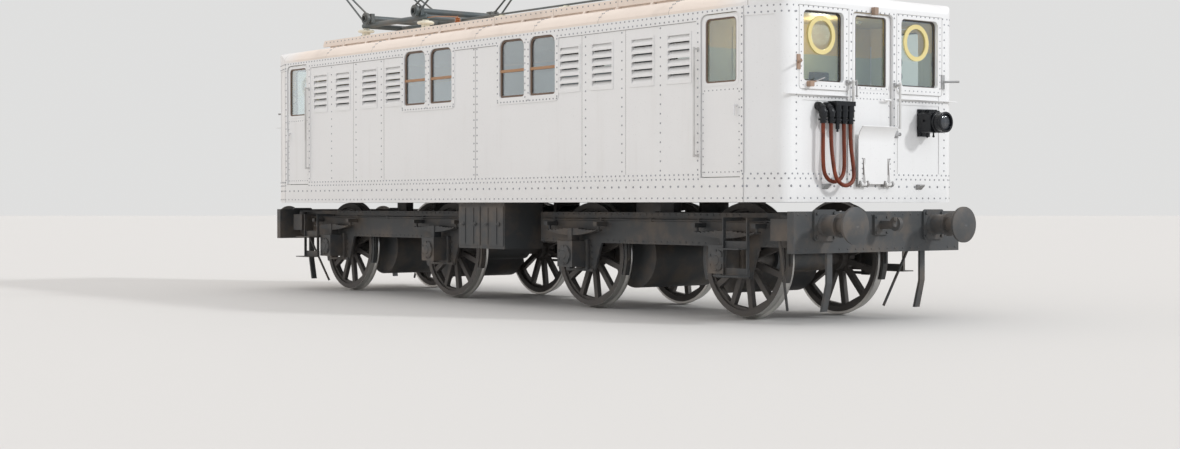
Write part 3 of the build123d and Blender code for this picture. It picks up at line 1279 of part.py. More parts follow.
BRAKE_GAP = 8
BRAKE_SHOE = 45
BRAKE_Y = (735, 805)
BRAKE_TURN = 22
BRAKE_PIN_Z = 1080
STEP_X = CAB_DOOR_X - BOGIE_PIVOT_X
STEP_HALF = 190
STEP_Y = (1245, 1425)
STEP_HEIGHTS = (480, 780)
STEP_PLATE = 12
GUARD_Y = 750
GUARD_LOW_Z = 110
SAND_BOX = ((2200, 2460), (PLATE_Y[1] + SEAT_GAP, 1180), (880, 1120))
SPRING_HALF = 500
SPRING_Y = 1090
SPRING_BRACKET_Z = (1010, 1060)


def brake_blocks():
    """Shoe, hanger and pin at both sides of each left wheel."""
    blocks = []
    radius = WHEEL_RADIUS + BRAKE_GAP
    width = BRAKE_Y[1] - BRAKE_Y[0]
    mid = (BRAKE_Y[0] + BRAKE_Y[1]) / 2
    tall = 2 * radius * math.sin(math.radians(BRAKE_TURN))
    ring = rod((0, BRAKE_Y[0], AXLE_Z), (0, BRAKE_Y[1], AXLE_Z), radius + BRAKE_SHOE)
    ring -= rod((0, BRAKE_Y[0] - 1, AXLE_Z), (0, BRAKE_Y[1] + 1, AXLE_Z), radius)
    for way in (-1, 1):
        x = sorted((way * radius / 2, way * 2 * radius))
        shoe = ring & block(x, (mid - width, mid + width), (AXLE_Z - tall / 2, AXLE_Z + tall / 2))
        hanger_x = sorted((way * (radius + BRAKE_SHOE - 10), way * (radius + BRAKE_SHOE + 20)))
        shoe += block(hanger_x, (mid - 15, mid + 15), (AXLE_Z - 60, BRAKE_PIN_Z + 30))
        pin_x = sum(hanger_x) / 2
        shoe += rod((pin_x, mid - 30, BRAKE_PIN_Z), (pin_x, PLATE_Y[0] - SEAT_GAP, BRAKE_PIN_Z), 20)
        for centre in (-WHEELBASE / 2, WHEELBASE / 2):
            blocks.append(Pos(centre, 0, 0) * shoe)
    return blocks


STEP_BAR = 40
STEP_TOP_Z = 1130
STEP_BACK = 90


def cab_steps():
    """Two steps under the cab door, on side bars from the bogie's frame plate."""
    steps = None
    for way in (-1, 1):
        x = STEP_X + way * STEP_HALF
        bar_x = (x - STEP_PLATE / 2, x + STEP_PLATE / 2)
        bar = block(bar_x, (PLATE_Y[1] + SEAT_GAP, STEP_Y[0] + STEP_BAR), (STEP_TOP_Z - STEP_BAR, STEP_TOP_Z))
        bar += block(bar_x, (STEP_Y[0], STEP_Y[0] + STEP_BAR), (STEP_HEIGHTS[0], STEP_TOP_Z))
        steps = bar if steps is None else steps + bar
    x = (STEP_X - STEP_HALF - STEP_PLATE, STEP_X + STEP_HALF + STEP_PLATE)
    for z in STEP_HEIGHTS:
        steps += block(x, STEP_Y, (z, z + STEP_PLATE))
        steps += block(x, (STEP_Y[0], STEP_Y[0] + STEP_PLATE), (z, z + STEP_BACK))
    return steps


# Guard iron: half thickness, height of the bend, reach of the foot's two edges, half width
GUARD_HALF_THICK = 15
GUARD_BEND_Z = 420
GUARD_FOOT_REACH = (60, 95)
GUARD_HALF_WIDTH = 40
# Sand filler's cap and sand pipe: ends and radius
SAND_CAP = ((2330, 1080, 1119), (2330, 1080, 1160), 60)
SAND_PIPE = ((2240, 1080, 890), (2060, 780, 100), 16)


def guard_iron(outer):
    """Bent bar ahead of the leading wheel, down to just above the rail."""
    x = outer + HEADSTOCK_THICK / 2
    half, top = GUARD_HALF_THICK, HEADSTOCK_Z[0] + 1
    near, far = GUARD_FOOT_REACH
    side = Polyline((x - half, top), (x + half, top), (x + half, GUARD_BEND_Z), (x - near, GUARD_LOW_Z),
                    (x - far, GUARD_LOW_Z), (x - half, GUARD_BEND_Z), close=True)
    return Pos(0, GUARD_Y, 0) * extrude(Plane.XZ * make_face(side), GUARD_HALF_WIDTH, both=True)


def sand_box():
    """Sand box on the frame plate with its pipe towards the leading wheel."""
    return block(*SAND_BOX) + rod(*SAND_CAP) + rod(*SAND_PIPE)


def spring_brackets():
    """Brackets on the frame plate over the ends of the left springs."""
    brackets = []
    for centre in (-WHEELBASE / 2, WHEELBASE / 2):
        for way in (-1, 1):
            x = centre + way * SPRING_HALF
            brackets.append(block((x - 35, x + 35), (PLATE_Y[1] + SEAT_GAP, SPRING_Y + 60), SPRING_BRACKET_Z))
    return brackets


def frame_plate():
    """Left plate frame with its horn gaps."""
    outer = HEADSTOCK_X[0] - BOGIE_PIVOT_X
    axle = WHEELBASE / 2
    low, waist = HORN_LOW_Z, WAIST_Z
    top, foot = HORN_HALVES
    outline = [(INNER_END, BOGIE_TOP_Z), (INNER_END, waist)]
    for centre in (-axle, axle):
        outline += [(centre - top, waist), (centre - foot, low), (centre + foot, low), (centre + top, waist)]
    outline += [(outer, waist), (outer, BOGIE_TOP_Z)]
    middle = Plane(origin=(0, (PLATE_Y[0] + PLATE_Y[1]) / 2, 0), x_dir=(1, 0, 0), z_dir=(0, -1, 0))
    plate = extrude(middle * make_face(Polyline(*outline, close=True)), (PLATE_Y[1] - PLATE_Y[0]) / 2, both=True)
    gap = BOX_HALF + SEAT_GAP
    for centre in (-axle, axle):
        plate -= block((centre - gap, centre + gap), (PLATE_Y[0] - 1, PLATE_Y[1] + 1), (low - 1, BOX_Z[1] + SEAT_GAP))
    return plate


def bogie_frame():
    """Outside plate frames, headstock, inner beam and bolster of the front bogie, with what they carry."""
    outer = HEADSTOCK_X[0] - BOGIE_PIVOT_X
    inside = PLATE_Y[0] - SEAT_GAP
    iron = guard_iron(outer)
    headstock = block((outer + SEAT_GAP, outer + HEADSTOCK_THICK), (-HEADSTOCK_HALF, HEADSTOCK_HALF), HEADSTOCK_Z)
    headstock += iron + mirror(iron, about=Plane.XZ)
    beam = block((INNER_END, INNER_END + INNER_BEAM_THICK), (-inside, inside), INNER_BEAM_Z)
    bolster = block((-BOLSTER_HALF, BOLSTER_HALF), (-inside, inside), (BOLSTER_LOW_Z, BOGIE_TOP_Z))
    bolster -= rod((0, 0, BOLSTER_LOW_Z - 1), (0, 0, BOGIE_TOP_Z + 1), PIVOT_PIN_RADIUS + PIN_GAP)
    half_x, half_y = SIDE_BEARER
    for side in (-1, 1):
        y = side * SIDE_BEARER_Y
        bolster += block((-half_x, half_x), (y - half_y, y + half_y), (BOGIE_TOP_Z - 1, BEARER_LOW - SEAT_GAP))
    left = [frame_plate(), cab_steps(), sand_box()] + brake_blocks() + spring_brackets()
    pieces = [headstock, beam, bolster] + left + [mirror(piece, about=Plane.XZ) for piece in left]
    return [Pos(BOGIE_PIVOT_X, 0, 0) * piece for piece in pieces]


# Buckle round each spring: half length, half width, top
BUCKLE = (40, 60, 980)
LEAF_COUNT = 6
LEAF_STEP = 70
LEAF_Z = 900
LEAF_PITCH = 14
LEAF_SAG = 60
LEAF_THICK = 13
LEAF_HALF_WIDTH = 50
HANGER_X = 492.5
HANGER_LOW_Z = 950
HANGER_RADIUS = 18


def axle_boxes_and_springs():
    """Axle boxes in the horns with a leaf spring over each."""
    pieces = []
    for centre in (-WHEELBASE / 2, WHEELBASE / 2):
        for side in (-1, 1):
            y = sorted((side * BOX_Y[0], side * BOX_Y[1]))
            box = block((-BOX_HALF, BOX_HALF), y, BOX_Z)
            box -= rod((0, side * (BOX_Y[0] - 1), AXLE_Z), (0, side * (BOX_Y[1] - 30), AXLE_Z),
                       JOURNAL_RADIUS + PIN_GAP)
            mid = side * SPRING_Y
            half_x, half_y, buckle_top = BUCKLE
            box += block((-half_x, half_x), (mid - half_y, mid + half_y), (BOX_Z[1] - 1, buckle_top))
            for leaf in range(LEAF_COUNT):
                reach = SPRING_HALF - leaf * LEAF_STEP
                z = LEAF_Z + leaf * LEAF_PITCH
                rise = z + LEAF_SAG * (reach / SPRING_HALF) ** 2
                strip = offset(ThreePointArc((-reach, rise), (0, z), (reach, rise)), amount=LEAF_THICK / 2)
                face = make_face(strip.edges()) if not isinstance(strip, Sketch) else strip
                plane = Plane(origin=(0, mid, 0), x_dir=(1, 0, 0), z_dir=(0, -1, 0))
                box += extrude(plane * face, LEAF_HALF_WIDTH, both=True)
            for way in (-1, 1):
                x = way * HANGER_X
                box += rod((x, mid, HANGER_LOW_Z), (x, mid, SPRING_BRACKET_Z[0] - SEAT_GAP), HANGER_RADIUS)
            pieces.append(Pos(BOGIE_PIVOT_X + centre, 0, 0) * box)
    return pieces


MOTOR_X = 830
MOTOR_Z = 640
MOTOR_HALF = 560
MOTOR_RADIUS = 400
MOTOR_NECK = (300, 160)
SLEEVE_HALF = 420
SLEEVE_THICK = 60
NOSE_HALF = 200
NOSE_Z = (900, 980)


def traction_motors():
    """Two axle-hung motors, each between its axle and the bolster."""
    motors = []
    for way in (-1, 1):
        axle_x = way * WHEELBASE / 2
        centre = way * MOTOR_X
        motor = rod((centre, -MOTOR_HALF, MOTOR_Z), (centre, MOTOR_HALF, MOTOR_Z), MOTOR_RADIUS)
        neck_y, neck_z = MOTOR_NECK
        motor += block(sorted((centre, axle_x)), (-neck_y, neck_y), (AXLE_Z - neck_z, AXLE_Z + neck_z))
        motor += rod((axle_x, -SLEEVE_HALF, AXLE_Z), (axle_x, SLEEVE_HALF, AXLE_Z), AXLE_RADIUS + SLEEVE_THICK)
        motor -= rod((axle_x, -WHEEL_BACK, AXLE_Z), (axle_x, WHEEL_BACK, AXLE_Z), AXLE_RADIUS + PIN_GAP)
        nose = sorted((way * (BOLSTER_HALF + SEAT_GAP), centre))
        motor += block(nose, (-NOSE_HALF, NOSE_HALF), NOSE_Z)
        motors.append(Pos(BOGIE_PIVOT_X, 0, 0) * motor)
    return motors


BUFFER_BASE = 170
BUFFER_STOCK = (130, 112)
BUFFER_STOCK_SHARE = 0.52
BUFFER_RAM = 85
BUFFER_DISC = 35
BUFFER_DOME = 25
HOOK_HALF = 25
HOOK_EYE = (245, 12)
HOOK_OUTER = 78
HOOK_INNER = 34
HOOK_SHANK = 45
HOOK_MOUTH = 12
# Hook's plate: thickness and half width
HOOK_PLATE = (30, 110)


def buffers():
    """Buffers and drawhook on the front headstock."""
    pieces = []
    face = HEADSTOCK_X[1] + SEAT_GAP
    length = BUFFER_LENGTH - SEAT_GAP
    stock = length * BUFFER_STOCK_SHARE
    disc = length - BUFFER_DISC - BUFFER_DOME
    dome_radius = (BUFFER_HEAD_RADIUS ** 2 + BUFFER_DOME ** 2) / (2 * BUFFER_DOME)
    dome_middle = length - dome_radius + math.sqrt(dome_radius ** 2 - BUFFER_HEAD_RADIUS ** 2 / 4)
    outline = [
        Line((10, 0), (10, BUFFER_STOCK[0])),
        Line((10, BUFFER_STOCK[0]), (60, BUFFER_STOCK[1])),
        Line((60, BUFFER_STOCK[1]), (stock - 30, BUFFER_STOCK[1])),
        Line((stock - 30, BUFFER_STOCK[1]), (stock - 30, BUFFER_STOCK[0])),
        Line((stock - 30, BUFFER_STOCK[0]), (stock, BUFFER_STOCK[0])),
        Line((stock, BUFFER_STOCK[0]), (stock, BUFFER_RAM)),
        Line((stock, BUFFER_RAM), (disc - 40, BUFFER_RAM)),
        Line((disc - 40, BUFFER_RAM), (disc, BUFFER_RAM + 50)),
        Line((disc, BUFFER_RAM + 50), (disc + 8, BUFFER_HEAD_RADIUS)),
        Line((disc + 8, BUFFER_HEAD_RADIUS), (disc + BUFFER_DISC, BUFFER_HEAD_RADIUS)),
        ThreePointArc((disc + BUFFER_DISC, BUFFER_HEAD_RADIUS),
                      (dome_middle, BUFFER_HEAD_RADIUS / 2), (length, 0)),
        Line((length, 0), (10, 0)),
    ]
    turned_part = revolve(make_face(outline), Axis.X)
    foot = block((0, 25), (-BUFFER_BASE, BUFFER_BASE), (-BUFFER_BASE, BUFFER_BASE))
    foot = fillet(foot.edges().filter_by(Axis.X), 40)
    for side in (-1, 1):
        pieces.append(Pos(face, side * BUFFER_SPACING / 2, BUFFER_HEIGHT) * (turned_part + foot))
    hook_x, hook_z = HOOK_EYE
    half = HOOK_HALF
    plate, plate_half = HOOK_PLATE
    hook = block((plate - 10, hook_x), (-half, half), (-HOOK_SHANK, HOOK_SHANK))
    hook += rod((hook_x, -half, hook_z), (hook_x, half, hook_z), HOOK_OUTER)
    hook -= rod((hook_x, -half - 1, hook_z), (hook_x, half + 1, hook_z), HOOK_INNER)
    hook -= block((hook_x - HOOK_MOUTH, hook_x + HOOK_INNER), (-half - 1, half + 1), (hook_z, hook_z + 2 * HOOK_OUTER))
    hook += block((0, plate), (-plate_half, plate_half), (-plate_half, plate_half))
    pieces.append(Pos(face, 0, BUFFER_HEIGHT) * hook)
    return pieces


HUB_RADIUS = 150
TYRE_THICK = 70
WEB_INSET = 45
SPOKE_COUNT = 11
SPOKE_HALF = 36
SPOKE_ROOM = (HUB_RADIUS + 35, WHEEL_RADIUS - TYRE_THICK - 35)


def wheelset(x):
    """Axle with its journals, and the two flanged, spoked wheels pressed on it."""
    back = WHEEL_BACK
    front = WHEEL_BACK + TREAD_WIDTH
    flange = WHEEL_RADIUS + FLANGE_DEPTH
    rim = WHEEL_RADIUS - TYRE_THICK
    bore = AXLE_RADIUS + SEAT_GAP
    web = (-front + 30, -back - WEB_INSET)
    hub = (-front - 20, -back + 40)
    journal = (-BOX_Y[1] + 40, -BOX_Y[0] + 20)
    half_axle = Polyline((0, journal[0]), (JOURNAL_RADIUS, journal[0]), (JOURNAL_RADIUS, journal[1]),
                         (AXLE_RADIUS, journal[1]), (AXLE_RADIUS, 0), (0, 0), close=True)
    axle = revolve(Plane.XY * make_face(half_axle), Axis.Y)
    axle += mirror(axle, about=Plane.XZ)
    outline = Polyline(
        (bore, hub[0]), (HUB_RADIUS, hub[0]), (HUB_RADIUS, web[0]), (rim, web[0]), (rim, -front),
        (WHEEL_RADIUS - 4, -front), (WHEEL_RADIUS, -back - 50), (flange - 8, -back - 34), (flange, -back - 20),
        (flange - 8, -back), (rim, -back), (rim, web[1]), (HUB_RADIUS, web[1]), (HUB_RADIUS, hub[1]),
        (bore, hub[1]), close=True)
    wheel = revolve(Plane.XY * make_face(outline), Axis.Y)
    inner, outer = SPOKE_ROOM
    spread = math.tan(math.pi / SPOKE_COUNT)
    low, high = inner * spread - SPOKE_HALF, outer * spread - SPOKE_HALF
    window = Polyline((inner, low), (outer, high), (outer, -high), (inner, -low), close=True)
    plane = Plane(origin=(0, -front, 0), x_dir=(1, 0, 0), z_dir=(0, 1, 0))
    gap = extrude(plane * make_face(window), TREAD_WIDTH)
    for index in range(SPOKE_COUNT):
        wheel -= Rot(0, index * 360 / SPOKE_COUNT, 0) * gap
    return [Pos(x, 0, AXLE_Z) * piece for piece in (axle, wheel, mirror(wheel, about=Plane.XZ))]


def main():
    os.makedirs("parts", exist_ok=True)
    shell = body_shell()
    keep("side_wall_left", side_wall(shell, 1))
    keep("side_wall_right", side_wall(shell, -1))
    front = end_wall(shell)
    lugs = plate_hinges()
    fittings = lamp_irons() + end_brackets()
    keep("end_wall_front", front)
    keep("end_wall_rear", turned(front))
    keep("end_fittings", *lugs, *[turned(lug) for lug in lugs], *fittings)
    keep("louvres", *louvre_columns())
    roof_solid = roof()
    keep("roof", roof_solid)
    keep("raised_roof", raised_roof())
    keep("roof_feet", *roof_feet(roof_solid))
    keep("underframe", *underframe())
    keep("underfloor_boxes", *underfloor_boxes())
    keep("cab_bulkheads", *bulkheads())
    keep("cab_controls", *cab_controls())
    keep("equipment_block", equipment_block())
    keep("body_glass", *body_glass())
    keep("window_rails", *window_rails())
    keep("sight_rings", *sight_rings())
    keep("handrails", *handrails())
    keep("jumper_sockets", *jumper_sockets())
    for name, route in CABLE_ROUTES.items():
        keep(name, cable(route))
    keep("headlamps", *headlamps())

    door, door_glass = cab_door()
    other, other_glass = mirror(door, about=Plane.XZ), mirror(door_glass, about=Plane.XZ)
    keep("cab_door_front_left", door)
    keep("cab_door_front_right", other)
    keep("cab_door_rear_left", turned(other))
    keep("cab_door_rear_right", turned(door))
    keep("cab_door_glass_front_left", door_glass)
    keep("cab_door_glass_front_right", other_glass)
    keep("cab_door_glass_rear_left", turned(other_glass))
    keep("cab_door_glass_rear_right", turned(door_glass))
    leaf, glass = gangway_door()
    plate = gangway_plate()
    for name, place in (("front", Rot(0, 0, 0)), ("rear", Rot(0, 0, 180))):
        keep(f"gangway_door_{name}", place * leaf)
        keep(f"gangway_glass_{name}", place * glass)
        keep(f"gangway_plate_{name}", place * plate)

    keep("pantograph_insulators", *pantograph_insulators())
    keep("pantograph_bases", pantograph_base(PANTOGRAPH_X), pantograph_base(-PANTOGRAPH_X), roof_line())
    for name, x0 in (("front", PANTOGRAPH_X), ("rear", -PANTOGRAPH_X)):
        for arm, way in (("fore", 1), ("aft", -1)):
            keep(f"{name}_pantograph_lower_{arm}", lower_arm(x0, way))
            keep(f"{name}_pantograph_upper_{arm}", upper_arm(x0, way))
        keep(f"{name}_pantograph_head", head(x0))

    frame = bogie_frame()
    springs = axle_boxes_and_springs()
    motors = traction_motors()
    draw_gear = buffers()
    for name, place in (("front", Rot(0, 0, 0)), ("rear", Rot(0, 0, 180))):
        keep(f"{name}_bogie_frame", *[place * piece for piece in frame])
        keep(f"{name}_bogie_springs", *[place * piece for piece in springs])
        keep(f"{name}_bogie_motors", *[place * piece for piece in motors])
        keep(f"{name}_buffers", *[place * piece for piece in draw_gear])
    axles = (BOGIE_PIVOT_X + WHEELBASE / 2, BOGIE_PIVOT_X - WHEELBASE / 2,
             -BOGIE_PIVOT_X + WHEELBASE / 2, -BOGIE_PIVOT_X - WHEELBASE / 2)
    for number, x in enumerate(axles, start=1):
        keep(f"wheelset_{number}", *wheelset(x))


main()
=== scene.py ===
import json
import math

import bmesh
import bpy
from mathutils import Matrix, Vector


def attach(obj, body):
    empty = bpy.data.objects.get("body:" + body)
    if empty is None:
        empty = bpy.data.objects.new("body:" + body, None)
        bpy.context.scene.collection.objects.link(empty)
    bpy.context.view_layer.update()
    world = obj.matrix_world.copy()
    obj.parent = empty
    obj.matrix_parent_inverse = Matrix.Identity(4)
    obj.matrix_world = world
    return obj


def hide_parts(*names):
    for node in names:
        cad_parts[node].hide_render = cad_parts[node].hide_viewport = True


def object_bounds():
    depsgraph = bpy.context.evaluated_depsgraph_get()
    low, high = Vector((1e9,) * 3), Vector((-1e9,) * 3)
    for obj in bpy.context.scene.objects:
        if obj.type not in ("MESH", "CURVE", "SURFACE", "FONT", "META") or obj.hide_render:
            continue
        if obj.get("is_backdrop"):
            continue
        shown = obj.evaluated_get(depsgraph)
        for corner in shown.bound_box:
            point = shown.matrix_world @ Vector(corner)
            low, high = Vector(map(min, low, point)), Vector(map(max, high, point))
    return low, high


bl_info = {
    "name": "Box-cab electric locomotive",
    "version": (1, 0, 0),
    "blender": (4, 5, 0),
    "location": "View3D > Sidebar > Locomotive",
    "description": "Finishes, rivets, cables, fittings and studio for the packed locomotive",
    "category": "Object",
}

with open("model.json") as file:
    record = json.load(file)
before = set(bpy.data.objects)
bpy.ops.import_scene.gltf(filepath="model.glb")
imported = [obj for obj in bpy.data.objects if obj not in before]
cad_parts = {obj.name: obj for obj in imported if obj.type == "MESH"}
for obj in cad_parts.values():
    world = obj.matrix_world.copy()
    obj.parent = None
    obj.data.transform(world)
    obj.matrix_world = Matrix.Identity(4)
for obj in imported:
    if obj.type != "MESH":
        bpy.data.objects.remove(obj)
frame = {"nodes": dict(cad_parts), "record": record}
NODES = frame["nodes"]
SLOT_OF_NODE = {part["node"]: part["material_slot"] for part in frame["record"]["subparts"]}

# Metres. Shapes give heights above the rail, and materials above the floor, which lies LIFT lower.
LIFT = 0.03
HALF_LENGTH = 5.55
HALF_WIDTH = 1.5
END_HALF = 1.33
TAPER_X = 5.07
CORNER_RADIUS = 0.15
TAPER_RADIUS = 0.4
PROUD = 0.008
DOOR_FACE = 5.52
CAB_DOOR_FACE = 1.49
PLATE_FACE = 5.61
BAND_Z = 1.62
CORNICE_Z = 3.31
WINDOW_X = (0.81, 1.45)
LOUVRE_X = (2.0, 2.63, 3.37, 4.01)
PARTITION_X = 4.15
DADO_Z = 3.08
ROOF_PLATE = 1.28
RAISED_TOP_Z = 3.83
RAISED_RISE = 0.1 / 1.44
PANTOGRAPH_X = 3.35
BASE_X = 0.82
BASE_Y = 0.62
BASE_FOOT_Z = 3.842 - RAISED_RISE * 0.535 ** 2
AXLES = (4.35, 1.55, -1.55, -4.35)
AXLE_Z = 0.65
BUFFER_Y = 0.875
BUFFER_Z = 1.05

# Radius of the smaller rivets as a share of the plate rivets'
FINE_SHARE = 0.75

# Directions
UP = (0, 0, 1)
AHEAD = (1, 0, 0)
ENDS = (("front", 1), ("rear", -1))
HANDS = (("left", 1), ("right", -1))
BOTH = (-1, 1)


def paint(name, description, default):
    return bpy.props.FloatVectorProperty(
        name=name, description=description, default=default, subtype="COLOR", size=3, min=0, max=1)


def metres(name, description, default, least):
    return bpy.props.FloatProperty(
        name=name, description=description, default=default, min=least, unit="LENGTH")


class LocoFinish(bpy.types.PropertyGroup):
    """Colours of the main finishes."""

    body: paint("Body", "Paint on the walls and doors", (0.78, 0.775, 0.765))
    # The roof's pinkish tone is painted warm light, reflected onto the roof's sides
    roof: paint("Roof", "Paint on the roof", (0.80, 0.70, 0.615))
    cab: paint("Cab", "Paint on the upper part of the cab's walls", (0.72, 0.55, 0.26))
    dado: paint("Dado", "Paint on the lower part of the cab's walls", (0.44, 0.51, 0.45))
    room: paint("Machine room", "Paint in the machine room", (0.50, 0.56, 0.62))
    ring: paint("Rings", "Rings on the end windows", (0.74, 0.62, 0.27))
    cable: paint("Cables", "Sheath of the jumper cables", (0.13, 0.024, 0.008))


class LocoRivets(bpy.types.PropertyGroup):
    """Sizes of the rivets."""

    radius: metres("Radius", "Radius of a plate rivet's head", 0.0115, 0.004)
    large: metres("Large radius", "Radius of the rivets over the skirt", 0.0145, 0.004)
    pitch: metres("Pitch", "Distance between plate rivets", 0.08, 0.03)


class LocoStudio(bpy.types.PropertyGroup):
    """Floor, lamps and camera."""

    floor: paint("Floor", "Colour of the floor", (0.62, 0.61, 0.59))
    sun: bpy.props.FloatProperty(
        name="Key", description="Strength of the key light", default=1.4, min=0)
    sky: bpy.props.FloatProperty(
        name="Fill", description="Strength of the light from all around", default=1.0, min=0)
    cab: bpy.props.FloatProperty(
        name="Cab light", description="Power of the light in each cab", default=12.0, min=0, unit="POWER")
    focal: bpy.props.FloatProperty(
        name="Focal length", description="Camera's focal length", default=54.305, min=1, unit="CAMERA")


# Materials

def rgba(color):
    return tuple(color)[:3] + (1.0,)


def darker(color, share):
    return [part * share for part in color]


def add_node(tree, kind, sockets=None, **settings):
    """Adds a shader node. Each socket gets a value or the socket that feeds it."""
    node = tree.nodes.new("ShaderNode" + kind)
    for key, value in settings.items():
        setattr(node, key, value)
    for key, value in (sockets or {}).items():
        if isinstance(value, bpy.types.NodeSocket):
            tree.links.new(value, node.inputs[key])
        else:
            node.inputs[key].default_value = value
    return node


class Finish:
    """One material, put together node by node."""

    def __init__(self, name):
        self.material = bpy.data.materials.new(name)
        self.material.use_nodes = True
        self.tree = self.material.node_tree
        self.tree.nodes.clear()
        self.place = self.add("TexCoord").outputs["Object"]

    def add(self, kind, sockets=None, **settings):
        return add_node(self.tree, kind, sockets, **settings)

    def calc(self, operation, first, second=0.0, clamp=False):
        return self.add("Math", {0: first, 1: second}, operation=operation, use_clamp=clamp).outputs[0]

    def times(self, first, second):
        return self.calc("MULTIPLY", first, second)

    def plus(self, first, second, clamp=False):
        return self.calc("ADD", first, second, clamp)

    def minus(self, first, second):
        return self.calc("SUBTRACT", first, second)

    def axes(self):
        return self.add("SeparateXYZ", {0: self.place}).outputs[:3]

    def noise(self, scale, detail=2.0, rough=0.5, stretch=None):
        place = self.place
        if stretch:
            place = self.add("Mapping", {"Vector": self.place, "Scale": stretch}).outputs[0]
        sockets = {"Vector": place, "Scale": scale, "Detail": detail, "Roughness": rough}
        return self.add("TexNoise", sockets).outputs[0]

    def band(self, value, low, high):
        """0 below low, 1 above high, smooth between."""
        sockets = {"Value": value, "From Min": low, "From Max": high}
        return self.add("MapRange", sockets, interpolation_type="SMOOTHSTEP").outputs[0]

    def worn(self, amount):
        """Share of dirt in large soft patches."""
        return self.times(self.band(self.noise(2.6, 5, 0.62), 0.4, 0.72), amount)

    def blend(self, share, first, second):
        """Mix of two colours, each a socket or a plain colour."""
        tones = {key: tone if isinstance(tone, bpy.types.NodeSocket) else rgba(tone)
                 for key, tone in ((6, first), (7, second))}
        return self.add("Mix", {0: share, **tones}, data_type="RGBA").outputs[2]

    def bump(self, height, distance, strength=1.0, normal=None):
        sockets = {"Height": height, "Distance": distance, "Strength": strength}
        if normal:
            sockets["Normal"] = normal
        return self.add("Bump", sockets).outputs[0]

    def brushed(self):
        """Normal of a brushed coat of paint."""
        return self.bump(self.noise(40.0, 3), 0.001, 0.35)

    def surface(self, sockets):
        return self.close(self.add("BsdfPrincipled", sockets).outputs[0])

    def close(self, shader):
        self.add("OutputMaterial", {"Surface": shader})
        return self.material


def outside_share(finish):
    """1 on the body's outer skin, 0 on what faces the inside."""
    far_x, far_y = (finish.calc("ABSOLUTE", axis) for axis in finish.axes()[:2])
    slope = Vector((HALF_WIDTH - END_HALF, HALF_LENGTH - TAPER_X)).normalized()
    taper = finish.plus(finish.times(far_x, slope.x), finish.times(far_y, slope.y))
    taper = finish.minus(taper, slope.x * TAPER_X + slope.y * HALF_WIDTH)
    flat = finish.calc("MAXIMUM", finish.minus(far_x, HALF_LENGTH), finish.minus(far_y, HALF_WIDTH))
    return finish.band(finish.calc("MAXIMUM", flat, taper), -0.05, -0.046)


def weathered(finish, color, dirt, low, high):
    """Paint with faint blotches, runs of dirt and more of it towards the bottom."""
    z = finish.axes()[2]
    blotches = finish.band(finish.noise(0.9, 4, 0.6), 0.35, 0.75)
    runs = finish.band(finish.noise(5.0, 4, 0.62, (1.0, 1.0, 0.09)), 0.5, 0.78)
    foot = finish.minus(1.0, finish.band(z, low, high))
    specks = finish.band(finish.noise(55.0, 2, 0.5), 0.66, 0.74)
    painted = finish.blend(finish.times(blotches, 0.3), color, darker(color, 0.93))
    painted = finish.blend(finish.times(runs, 0.09), painted, dirt)
    painted = finish.blend(finish.times(foot, 0.05), painted, dirt)
    return finish.blend(finish.times(specks, 0.12), painted, darker(dirt, 0.5))


def cab_tones(finish, cab, dado):
    """Two tones of paint on the cab's walls, parted at DADO_Z."""
    return finish.blend(finish.band(finish.axes()[2], DADO_Z - 0.004, DADO_Z + 0.004), dado, cab)


def cab_paint(name, cab, dado):
    finish = Finish(name)
    coat = finish.blend(finish.worn(0.25), cab_tones(finish, cab, dado), (0.30, 0.24, 0.12))
    return finish.surface({"Base Color": coat, "Roughness": 0.45, "Normal": finish.brushed()})


def body_paint(name, color, cab, dado, room):
    finish = Finish(name)
    outer = weathered(finish, color, (0.36, 0.31, 0.25), LIFT + 1.3, LIFT + 2.0)
    far_x = finish.calc("ABSOLUTE", finish.axes()[0])
    in_cab = finish.band(far_x, PARTITION_X - 0.02, PARTITION_X + 0.02)
    inner = finish.blend(in_cab, room, cab_tones(finish, cab, dado))
    coat = finish.blend(outside_share(finish), inner, outer)
    waves = finish.bump(finish.noise(1.6, 1), 0.012, 0.25)
    normal = finish.bump(finish.noise(140.0, 2), 0.0006, 0.4, waves)
    return finish.surface({"Base Color": coat, "Roughness": 0.42, "Normal": normal, "Coat Weight": 0.15,
                           "Coat Roughness": 0.25})


def roof_paint(name, color, body):
    """Roof's paint with laps between its plates; its pinkish tone is painted warm light, and towards the ends
    it takes the body's paint as painted cool light.
    """
    finish = Finish(name)
    x = finish.axes()[0]
    # Painted cool light: towards the ends the roof takes the body's white
    painted_cool_light = finish.band(finish.calc("ABSOLUTE", x), 4.5, 5.3)
    outer = weathered(finish, color, (0.30, 0.25, 0.21), LIFT + 3.2, LIFT + 3.45)
    outer = finish.blend(painted_cool_light, outer, body)
    along = finish.calc("PINGPONG", finish.plus(x, 20 * ROOF_PLATE), ROOF_PLATE / 2)
    seam = finish.minus(1.0, finish.band(along, 0.002, 0.006))
    lap = finish.band(along, 0.03, 0.034)
    painted = finish.blend(finish.times(seam, 0.6), outer, (0.20, 0.17, 0.15))
    soot = finish.band(finish.noise(1.3, 5, 0.6), 0.45, 0.8)
    painted = finish.blend(finish.times(soot, 0.25), painted, (0.34, 0.28, 0.24))
    height = finish.minus(finish.noise(1.8, 1), finish.times(lap, 0.4))
    normal = finish.bump(height, 0.006, 0.5)
    return finish.surface({"Base Color": painted, "Roughness": 0.5, "Normal": normal})


def plain_paint(name, color, rough, dirt, amount=0.5, metal=0.0, coat=0.0, shine=0.5):
    finish = Finish(name)
    painted = finish.blend(finish.worn(amount), color, dirt)
    return finish.surface({"Base Color": painted, "Roughness": rough, "Metallic": metal,
                           "Normal": finish.brushed(), "Coat Weight": coat, "Coat Roughness": 0.1,
                           "Specular IOR Level": shine})


